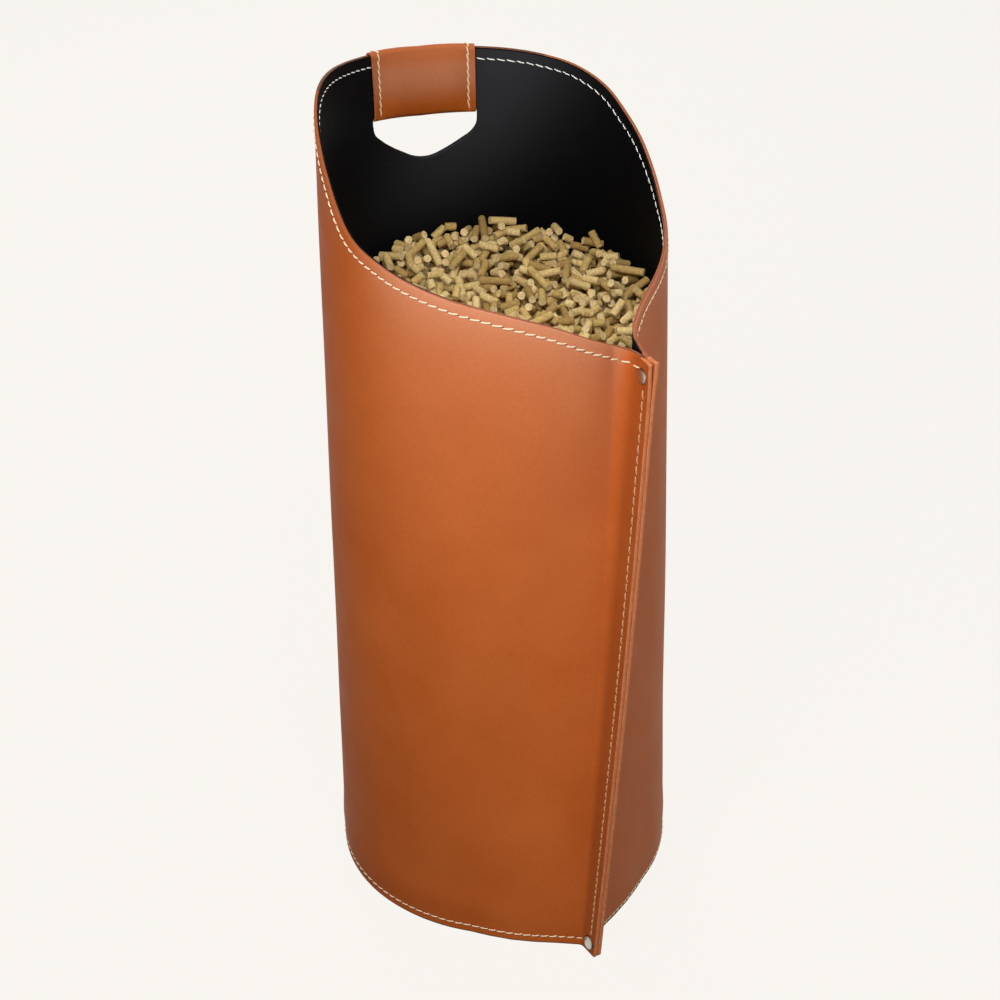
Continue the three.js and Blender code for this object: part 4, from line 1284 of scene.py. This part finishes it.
def lining_stitches(side, word):
    """The same line on the lining: white, fine and nearly unbroken."""
    points, outward = below_rim(side, 0.006, LINING_LAST_WAY, 40, WALL_DEPTH - STITCH_LIFT)
    stitch_line(
        f"rim_stitches_{word}_inner", (points, -outward), f"rim_thread_{word}_inner", -10,
        LINING_PITCHES[side], cover=0.97, thickness=0.95, thread=WHITE_THREAD)


def seam_stitches(side, word):
    """The line down one face of the flat seam, between its rivets."""
    heights = np.linspace(SEAM_STITCHES_BOTTOM, SEAM_STITCHES_TOP, 240)
    ways = 4 - SEAM_STITCH_INSET / seam_flat(wall_section(side, heights))
    stitch_line(
        f"seam_stitches_{word}", wall_place(side, ways, heights, GROOVE_DEPTH - STITCH_LIFT),
        f"seam_thread_{word}", 9, [(0, 5.4), (1, 9.1)], cover=0.9, thickness=1.3, thread=SHADED_SEAM_THREAD)


def grip_stitches(side, word):
    """The line round one end of the grip, from its foot over the rim and down again."""
    along = -side * (1 - GRIP_STITCH_INSET / (GRIP_WIDTH / 2))
    points, outward = grip_section(along, 0.0, away=0.15)
    order = np.arange(1, 2 * GRIP_FACE_STEPS + GRIP_TURN_STEPS)
    stitch_line(
        f"grip_stitches_{word}", (points[order], outward[order]), f"grip_thread_{word}", 9,
        [(0, 6.6), (1, 6.6)], cover=1.14, thickness=1.2)


def base_stitches():
    """The line round the foot, from one side of the seam to the other."""
    ways = ways_between(0, BASE_LAST_WAY, 300, 40)
    left, right = (
        wall_place(side, ways, base_stitch_height(side, ways), GROOVE_DEPTH - STITCH_LIFT)
        for side in (LEFT, RIGHT)
    )
    line = [np.concatenate([behind[::-1], ahead[1:]]) for behind, ahead in zip(left, right)]
    stitch_line(
        "base_stitches", line, "base_thread", 7, [(0, 6.8), (0.55, 6.8), (1, 5.4)],
        cover=0.97, thickness=1.05)


for half, half_word in ((LEFT, "left"), (RIGHT, "right")):
    for stitches in (rim_stitches, lining_stitches, seam_stitches, grip_stitches):
        stitches(half, half_word)
base_stitches()


# Rivets: turned caps on both faces of the seam

RIVET_PROFILE = [
    (0.0, 1.75), (0.8, 1.74), (1.6, 1.69), (2.4, 1.6), (3.2, 1.47), (3.9, 1.31), (4.6, 1.09),
    (5.2, 0.84), (5.6, 0.62), (5.85, 0.44), (5.97, 0.28), (6.0, 0.16), (5.97, 0.05), (5.85, 0.0),
]
RIVET_SIDES = 40
RIVET_SEAT = HALF_SEAM + 0.05
RIVET_STEM_GAP = 0.4
RIVET_STEMS = {"cap": 1.9, "post": 1.0}
RIVET_DARK_FOOT_RADIUS = 5.95
RIVET_DARK_FOOT_RUN = 1.3
RIVET_PLACES = (("top", 8.8, SEAM_CORNER_HEIGHT - 13.3), ("bottom", 8.2, 8.4))


def on_seam_plane(inset, height):
    """The point halfway between the seam's faces, this far in from its edge."""
    _, edge = seam_at(np.array(float(height)))
    place = edge - SEAM_OUTWARD * inset
    return np.array([place[0], place[1], height])


SEAM_RISE = on_seam_plane(0, SEAM_CORNER_HEIGHT) - on_seam_plane(0, 0)
SEAM_SQUARE = unit(np.cross(SEAM_RISE, [*SEAM_OUTWARD, 0]))


def rivet_half(name, centre, side, stem, node):
    """A domed cap with its stem, turned round the rivet's own axis."""
    out = SEAM_SQUARE * side
    right = unit(np.cross(out, [0, 0, 1]))
    up = np.cross(right, out)
    stem_end = RIVET_STEM_GAP - RIVET_SEAT
    profile = [(radius, RIVET_SEAT + rise) for radius, rise in RIVET_PROFILE[1:]]
    profile += [(stem, RIVET_SEAT), (stem, stem_end)]
    points = [centre + out * (RIVET_SEAT + RIVET_PROFILE[0][1])]
    for radius, rise in profile:
        for step in range(RIVET_SIDES):
            turn = 2 * np.pi * step / RIVET_SIDES
            points.append(centre + out * rise + (right * np.cos(turn) + up * np.sin(turn)) * radius)
    points.append(centre + out * stem_end)
    last = len(points) - 1
    end = last - RIVET_SIDES
    within, _ = two_grids(len(profile), RIVET_SIDES)
    faces = []
    for step in range(RIVET_SIDES):
        after = (step + 1) % RIVET_SIDES
        faces += [(0, 1 + step, 1 + after), (end + step, last, end + after)]
        for ring in range(len(profile) - 1):
            faces.append(tuple(1 + corner for corner in within(0, ring, step)))
    radii = np.array([0.0, *np.repeat([radius for radius, _ in profile], RIVET_SIDES), 0.0])
    # Towards the foot of each cap the nickel gets its painted dark reflection and shade
    clear_of_dark_foot = eased((RIVET_DARK_FOOT_RADIUS - radii) / RIVET_DARK_FOOT_RUN)
    piece = piece_from(name, np.array(points), faces, [NICKEL], sharp_angle=45, painted_light_and_wear=clear_of_dark_foot)
    dress(piece, "rivet_steel", node)


for place, inset, height in RIVET_PLACES:
    middle = on_seam_plane(inset, height)
    for kind, half, node_kind in (("dome", LEFT, "cap"), ("back", RIGHT, "post")):
        rivet_half(
            f"{place}_rivet_{kind}", middle, half, RIVET_STEMS[node_kind],
            f"{place}_rivet_{node_kind}")


# The floor of the bag: black leather with a skirt turned down, over a stiff board

BASE_TIP_RADIUS = 5.0
BASE_FIT = 0.5
BASE_SKIRT = 1.5
BASE_OUTLINE_HEIGHT = 12

# The rings' heights, and how far in they lie from the skirt's inner and outer face
TRAY_UNDER = [(12.0, 2.2), (11.9, 1.2), (11.4, 0.5), (10.4, 0.0), (0.9, 0.0)]
TRAY_OVER = [
    (0.6, 1.2), (0.5, 0.75), (0.6, 0.3), (0.9, 0.0), (11.4, 0.0), (12.8, 0.4), (13.6, 1.2),
    (14.0, 2.4),
]
ROOM_BACK_STEPS = 120
ROOM_TIP_STEPS = 10


def room_outline(height, fit, tip_radius):
    """The room inside the wall at a height, with a small round tip towards the seam."""
    left, right = tangent_at(LEFT, height), tangent_at(RIGHT, height)
    back_radius = TUBE_RADIUS - WALL_DEPTH - fit
    tip_reach = (back_radius - tip_radius) / np.cos((right - left) / 2)
    tip = direction((left + right) / 2) * tip_reach
    back = direction(np.linspace(right, left + 2 * np.pi, ROOM_BACK_STEPS + 1)) * back_radius
    front = tip + direction(np.linspace(left, right, ROOM_TIP_STEPS + 1)) * tip_radius
    return np.concatenate([back, front])


def rings_piece(name, rings, material):
    """A closed solid through rings of equal count, ended by a flat face at the first and last."""
    around = len(rings[0][0])
    points = np.concatenate([
        np.column_stack([outline, np.full(around, height)]) for outline, height in rings
    ])
    within, _ = two_grids(len(rings), around)
    faces = [within(0, ring, step) for ring in range(len(rings) - 1) for step in range(around)]
    faces += [tuple(range(len(points)))[:around], tuple(range(len(points)))[-around:]]
    return piece_from(name, points, faces, [material])


def base_tray():
    """From the underside's middle, down inside the skirt, round its foot and up to the top."""
    rings = []
    for run, skirt, most in ((TRAY_UNDER, BASE_SKIRT, 1.5), (TRAY_OVER, 0.0, 2.5)):
        for rise, inset in run:
            tip_radius = BASE_TIP_RADIUS - skirt - min(inset, most)
            rings.append((
                room_outline(BASE_OUTLINE_HEIGHT, BASE_FIT + skirt + inset, tip_radius), rise))
    return rings_piece("black_base_leather", rings, BLACK_LINING)


dress(base_tray(), "black_lining", "base_leather")
for material_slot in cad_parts["base_board"].material_slots:
    material_slot.material = FIBREBOARD


# The pellets: settled one by one, then laid by a node tree

PELLET_RADIUS = 2.9
PELLET_LENGTH_SHAPE = (5.5, 2.1)
PELLET_LENGTH_LIMITS = (6.5, 25)
ROUGHENING = 1.1
ROUGHENING_SIZE = 2.1
HEAP_FLOOR = 460.5
HEAP_CROWN = 3.0
HEAP_TILT = 9.0
HEAP_CORNER = direction(radians(43)) * 115.0
HEAP_CORNER_RISE = 17.0
HEAP_CORNER_WIDTH = 26.0
HEAP_REACH = 120.6
CORE_BOTTOM = 26.6
CORE_FIT = 0.8
CORE_TIP_RADIUS = 8
PELLET_COUNT = 1400
PELLET_TRIES = 8
STEEPEST = 0.9
NO_CONTACT = 99.0


def heap_floor(places):
    """The height of the heap's core under some places. It slopes down towards the back, and
    pellets are banked up in the corner by the seam."""
    crown = HEAP_CROWN * (1 - (reach_of(places) / HEAP_REACH) ** 2)
    tilt = HEAP_TILT * places[..., 1] / HEAP_REACH
    banked = HEAP_CORNER_RISE * bell(reach_of(places - HEAP_CORNER), HEAP_CORNER_WIDTH)
    return HEAP_FLOOR + crown - tilt + banked


def ends_of(centre, way, length):
    return np.array([centre - way * length / 2, centre + way * length / 2])


def contacts(centre, way, length, starts, ways, lengths, lifts, slopes):
    """Where a level pellet over the heap touches those below: how far along itself, and how high
    its axis must be there."""
    found = []
    apart = reach_of(starts + ways * lengths[:, None] / 2 - centre)
    near = apart < (length + lengths) / 2 + 2 * PELLET_RADIUS + 0.2
    if not near.any():
        return found
    starts, ways, lengths, lifts, slopes = (
        array[near] for array in (starts, ways, lengths, lifts, slopes))
    begin = centre - way * length / 2

    def keep(own, other, gap):
        close = gap < 2 * PELLET_RADIUS
        rise = lifts + slopes * other + np.sqrt(np.maximum(4 * PELLET_RADIUS ** 2 - gap ** 2, 0))
        found.extend(zip((own - length / 2)[close], rise[close]))

    cross = way[0] * ways[:, 1] - way[1] * ways[:, 0]
    cross = np.where(np.abs(cross) < 1e-6, 1e-6, cross)
    between = starts - begin
    own = (between[:, 0] * ways[:, 1] - between[:, 1] * ways[:, 0]) / cross
    other = (between[:, 0] * way[1] - between[:, 1] * way[0]) / cross
    meets = (own >= 0) & (own <= length) & (other >= 0) & (other <= lengths)
    keep(own, other, np.where(meets, 0.0, NO_CONTACT))
    for own_end in (0.0, length):
        place = begin + way * own_end
        other = np.clip(np.sum((place - starts) * ways, axis=-1), 0, lengths)
        gap = reach_of(starts + ways * other[:, None] - place)
        keep(np.full(len(gap), own_end), other, gap)
    for other_end in (np.zeros(len(lengths)), lengths):
        places = starts + ways * other_end[:, None]
        own = np.clip(np.sum((places - begin) * way, axis=-1), 0, length)
        gap = reach_of(begin + way * own[:, None] - places)
        keep(own, other_end, gap)
    return found


def settled_pellets():
    """Drops pellets on the heap. Each is tried in a few places, kept in the lowest, and leans on
    what it touches either side of its middle."""
    chance = np.random.default_rng(11)
    starts, ways = np.zeros((0, 2)), np.zeros((0, 2))
    lengths, lifts, slopes = np.zeros(0), np.zeros(0), np.zeros(0)
    reach = HEAP_REACH - PELLET_RADIUS - 0.6
    for _ in range(PELLET_COUNT):
        best = None
        length = float(np.clip(chance.gamma(*PELLET_LENGTH_SHAPE), *PELLET_LENGTH_LIMITS))
        for _ in range(PELLET_TRIES):
            outward = direction(chance.uniform(0, 2 * np.pi))
            centre = outward * (reach - 3) * np.sqrt(chance.uniform(0, 1))
            way = direction(chance.uniform(0, np.pi))
            ends = ends_of(centre, way, length)
            out = reach_of(ends)
            if out.max() > reach:
                furthest = ends[out.argmax()]
                centre = centre - furthest / out.max() * (out.max() - reach)
                ends = ends_of(centre, way, length)
                if reach_of(ends).max() > reach + 0.3:
                    continue
            touches = contacts(centre, way, length, starts, ways, lengths, lifts, slopes)
            floor = heap_floor(ends) + PELLET_RADIUS
            touches += [(-length / 2, floor[0]), (length / 2, floor[1])]
            spots = np.array(touches)
            before, after = spots[spots[:, 0] <= 0], spots[spots[:, 0] > 0]
            span = after[None, :, 0] - before[:, None, 0]
            slope = (after[None, :, 1] - before[:, None, 1]) / span
            middle = before[:, None, 1] - before[:, None, 0] * slope
            row, column = np.unravel_index(middle.argmax(), middle.shape)
            lean = float(np.clip(slope[row, column], -STEEPEST, STEEPEST))
            height = float(np.max(spots[:, 1] - spots[:, 0] * lean))
            if best is None or height < best[0]:
                best = (height, centre, way, lean)
        if best is None:
            continue
        height, centre, way, lean = best
        starts = np.vstack([starts, centre - way * length / 2])
        ways = np.vstack([ways, way])
        lengths = np.append(lengths, length)
        slopes = np.append(slopes, lean)
        lifts = np.append(lifts, height - lean * length / 2)
    centres = starts + ways * lengths[:, None] / 2
    heights = lifts + slopes * lengths / 2
    headings = unit(np.column_stack([ways, slopes]))
    tones = chance.uniform(0, 1, len(lengths))
    return np.column_stack([centres, heights]), headings, lengths, tones


def pellet_tree():
    """Lays a rough stick on each place, along its heading, with its ends marked as broken."""
    tree, given = new_tree(
        "pellets_on_places", ["Pellet thickness", "Roughening", "Roughening size"], ["Wood"],
        "Pellets")
    radius = add_node(tree, "ShaderNodeMath", {
        0: given["Pellet thickness"], 1: 0.5,
    }, operation="MULTIPLY")
    pellet = add_node(tree, "GeometryNodeMeshCylinder", {
        "Vertices": 12, "Side Segments": 4, "Radius": radius.outputs[0], "Depth": 1.0,
    })
    ends = add_node(tree, "FunctionNodeBooleanMath", {
        0: pellet.outputs["Top"], 1: pellet.outputs["Bottom"],
    }, operation="OR")
    marked = add_node(tree, "GeometryNodeStoreNamedAttribute", {
        "Geometry": pellet.outputs["Mesh"], "Name": "broken_end", "Value": ends.outputs[0],
    }, data_type="FLOAT", domain="FACE")
    heading, length = (
        add_node(tree, "GeometryNodeInputNamedAttribute", {
            "Name": name,
        }, data_type=data_type).outputs["Attribute"]
        for name, data_type in (("heading", "FLOAT_VECTOR"), ("pellet_length", "FLOAT"))
    )
    turned = add_node(tree, "FunctionNodeAlignRotationToVector", {"Vector": heading}, axis="Z")
    size = add_node(tree, "ShaderNodeCombineXYZ", {"X": 1.0, "Y": 1.0, "Z": length})
    laid = add_node(tree, "GeometryNodeInstanceOnPoints", {
        "Points": given["Places"], "Instance": marked.outputs["Geometry"],
        "Rotation": turned.outputs["Rotation"], "Scale": size.outputs[0],
    })
    real = add_node(tree, "GeometryNodeRealizeInstances", {"Geometry": laid.outputs["Instances"]})
    fineness = add_node(tree, "ShaderNodeMath", {
        0: 1.0, 1: given["Roughening size"],
    }, operation="DIVIDE")
    crumble = add_node(tree, "ShaderNodeTexNoise", {"Scale": fineness.outputs[0], "Detail": 2.0})
    centred = add_node(tree, "ShaderNodeVectorMath", {
        0: crumble.outputs["Color"], 1: (0.5, 0.5, 0.5),
    }, operation="SUBTRACT")
    shift = add_node(tree, "ShaderNodeVectorMath", {
        0: centred.outputs["Vector"], "Scale": given["Roughening"],
    }, operation="SCALE")
    rough = add_node(tree, "GeometryNodeSetPosition", {
        "Geometry": real.outputs["Geometry"], "Offset": shift.outputs["Vector"],
    })
    smooth = add_node(tree, "GeometryNodeSetShadeSmooth", {"Geometry": rough.outputs["Geometry"]})
    finished = add_node(tree, "GeometryNodeSetMaterial", {
        "Geometry": smooth.outputs["Geometry"], "Material": given["Wood"],
    })
    add_node(tree, "NodeGroupOutput", {"Pellets": finished.outputs["Geometry"]})
    return tree


def loose_pellets():
    centres, headings, lengths, tones = settled_pellets()
    return laid_piece("loose_wood_pellets", pellet_tree(), centres, {
        "heading": headings, "pellet_length": lengths * MM, "tone": tones,
    }, {
        "Pellet thickness": 2 * PELLET_RADIUS * MM, "Roughening": ROUGHENING * MM,
        "Roughening size": ROUGHENING_SIZE * MM, "Wood": PELLET_WOOD,
    }, sharp_angle=48)


def heap_core():
    """The pellets below the ones that show, as one filled body."""
    top = HEAP_FLOOR - HEAP_TILT - 2
    rings = [
        (room_outline(height, CORE_FIT, CORE_TIP_RADIUS), height)
        for height in np.linspace(CORE_BOTTOM, top, 12)
    ]
    brim = rings[-1][0]
    for share in (0.99, 0.85, 0.7, 0.5, 0.3, 0.12):
        rings.append((brim * share, heap_floor(brim * share) - 1))
    return rings_piece("pellet_core", rings, PELLET_WOOD)


dress(loose_pellets(), "wood_pellets", "pellet_load")
dress(heap_core(), "wood_pellets")


# The paper floor, the world and the lamps

PAPER = "F7F4EF"
PAPER_PAGE_SHARE = 0.98
PAPER_LIT_SHARE = 0.03
PAPER_UNSEEN = "3C3B39"
PAPER_REACH = 12.0
PAPER_DROP = 0.0003
ROOM_STRENGTH = 0.03


def background_rays(tree):
    """Is 1 for the rays that see the page: the camera's, and those in reflections and glass."""
    rays = add_node(tree, "ShaderNodeLightPath")
    mirrored = add_node(tree, "ShaderNodeMath", {
        0: rays.outputs["Is Glossy Ray"], 1: rays.outputs["Is Transmission Ray"],
    }, operation="MAXIMUM")
    seen = add_node(tree, "ShaderNodeMath", {
        0: rays.outputs["Is Camera Ray"], 1: mirrored.outputs[0],
    }, operation="MAXIMUM")
    return seen.outputs[0]


def paper_floor():
    """A sheet of pale paper. To the camera and in reflections it is as bright as the page behind
    the bag, less what the bag shades."""
    material = bpy.data.materials.new("paper_matt")
    tree = cleared(material)
    seen = background_rays(tree)
    lit = add_node(tree, "ShaderNodeBsdfDiffuse", {"Color": tint(PAPER, PAPER_LIT_SHARE)})
    page = add_node(tree, "ShaderNodeEmission", {
        "Color": tint(PAPER, PAPER_PAGE_SHARE), "Strength": 1.0,
    })
    both = add_node(tree, "ShaderNodeAddShader", {0: lit.outputs[0], 1: page.outputs[0]})
    matt = add_node(tree, "ShaderNodeBsdfDiffuse", {"Color": tint(PAPER_UNSEEN)})
    chosen = add_node(tree, "ShaderNodeMixShader", {
        0: seen, 1: matt.outputs[0], 2: both.outputs[0],
    })
    add_node(tree, "ShaderNodeOutputMaterial", {"Surface": chosen.outputs[0]})
    mesh = bpy.data.meshes.new("paper_floor")
    mesh.from_pydata([
        (x * PAPER_REACH, y * PAPER_REACH, -PAPER_DROP)
        for x, y in ((-1, -1), (1, -1), (1, 1), (-1, 1))
    ], [], [(0, 1, 2, 3)])
    mesh.materials.append(material)
    placed("paper_floor", mesh)


def studio_world():
    """A soft white room. The camera and mirrors see it as the page."""
    world = bpy.data.worlds.new("studio")
    tree = cleared(world)
    seen = background_rays(tree)
    soft = add_node(tree, "ShaderNodeBackground", {
        "Color": (1, 1, 1, 1), "Strength": ROOM_STRENGTH,
    })
    page = add_node(tree, "ShaderNodeBackground", {"Color": tint(PAPER), "Strength": 1.0})
    chosen = add_node(tree, "ShaderNodeMixShader", {
        0: seen, 1: soft.outputs[0], 2: page.outputs[0],
    })
    add_node(tree, "ShaderNodeOutputWorld", {"Surface": chosen.outputs[0]})
    bpy.context.scene.world = world


def soft_lamp(name, place, aim, width, height, power):
    """A softbox that faces a point."""
    lamp = bpy.data.lights.new(name, "AREA")
    lamp.shape = "RECTANGLE"
    lamp.size = width
    lamp.size_y = height
    lamp.energy = power
    light = placed(name, lamp)
    light.location = place
    light.visible_camera = False
    light.rotation_euler = (Vector(aim) - Vector(place)).to_track_quat("-Z", "Y").to_euler()


paper_floor()
studio_world()
soft_lamp("high_front_softbox", (-0.06, -0.75, 1.5), (0, 0, 0.45), 0.6, 0.35, 13.4)
soft_lamp("overhead_softbox", (0, 0, 2.2), (0, 0, 0.5), 0.6, 0.6, 4.0)
soft_lamp("left_softbox", (-0.5, -0.82, 0.64), (0, 0, 0.43), 0.4, 0.4, 4.0)
soft_lamp("right_softbox", (0.85, -0.55, 0.5), (0, 0, 0.4), 0.9, 0.9, 3.8)
soft_lamp("back_softbox", (0, 0.5, 1.3), (0, 0, 0.5), 0.5, 0.4, 2.8)
soft_lamp("behind_softbox", (-0.3, 1.3, 0.8), (0, 0, 0.35), 0.6, 0.6, 10.0)

bpy.context.scene.view_settings.view_transform = "Standard"
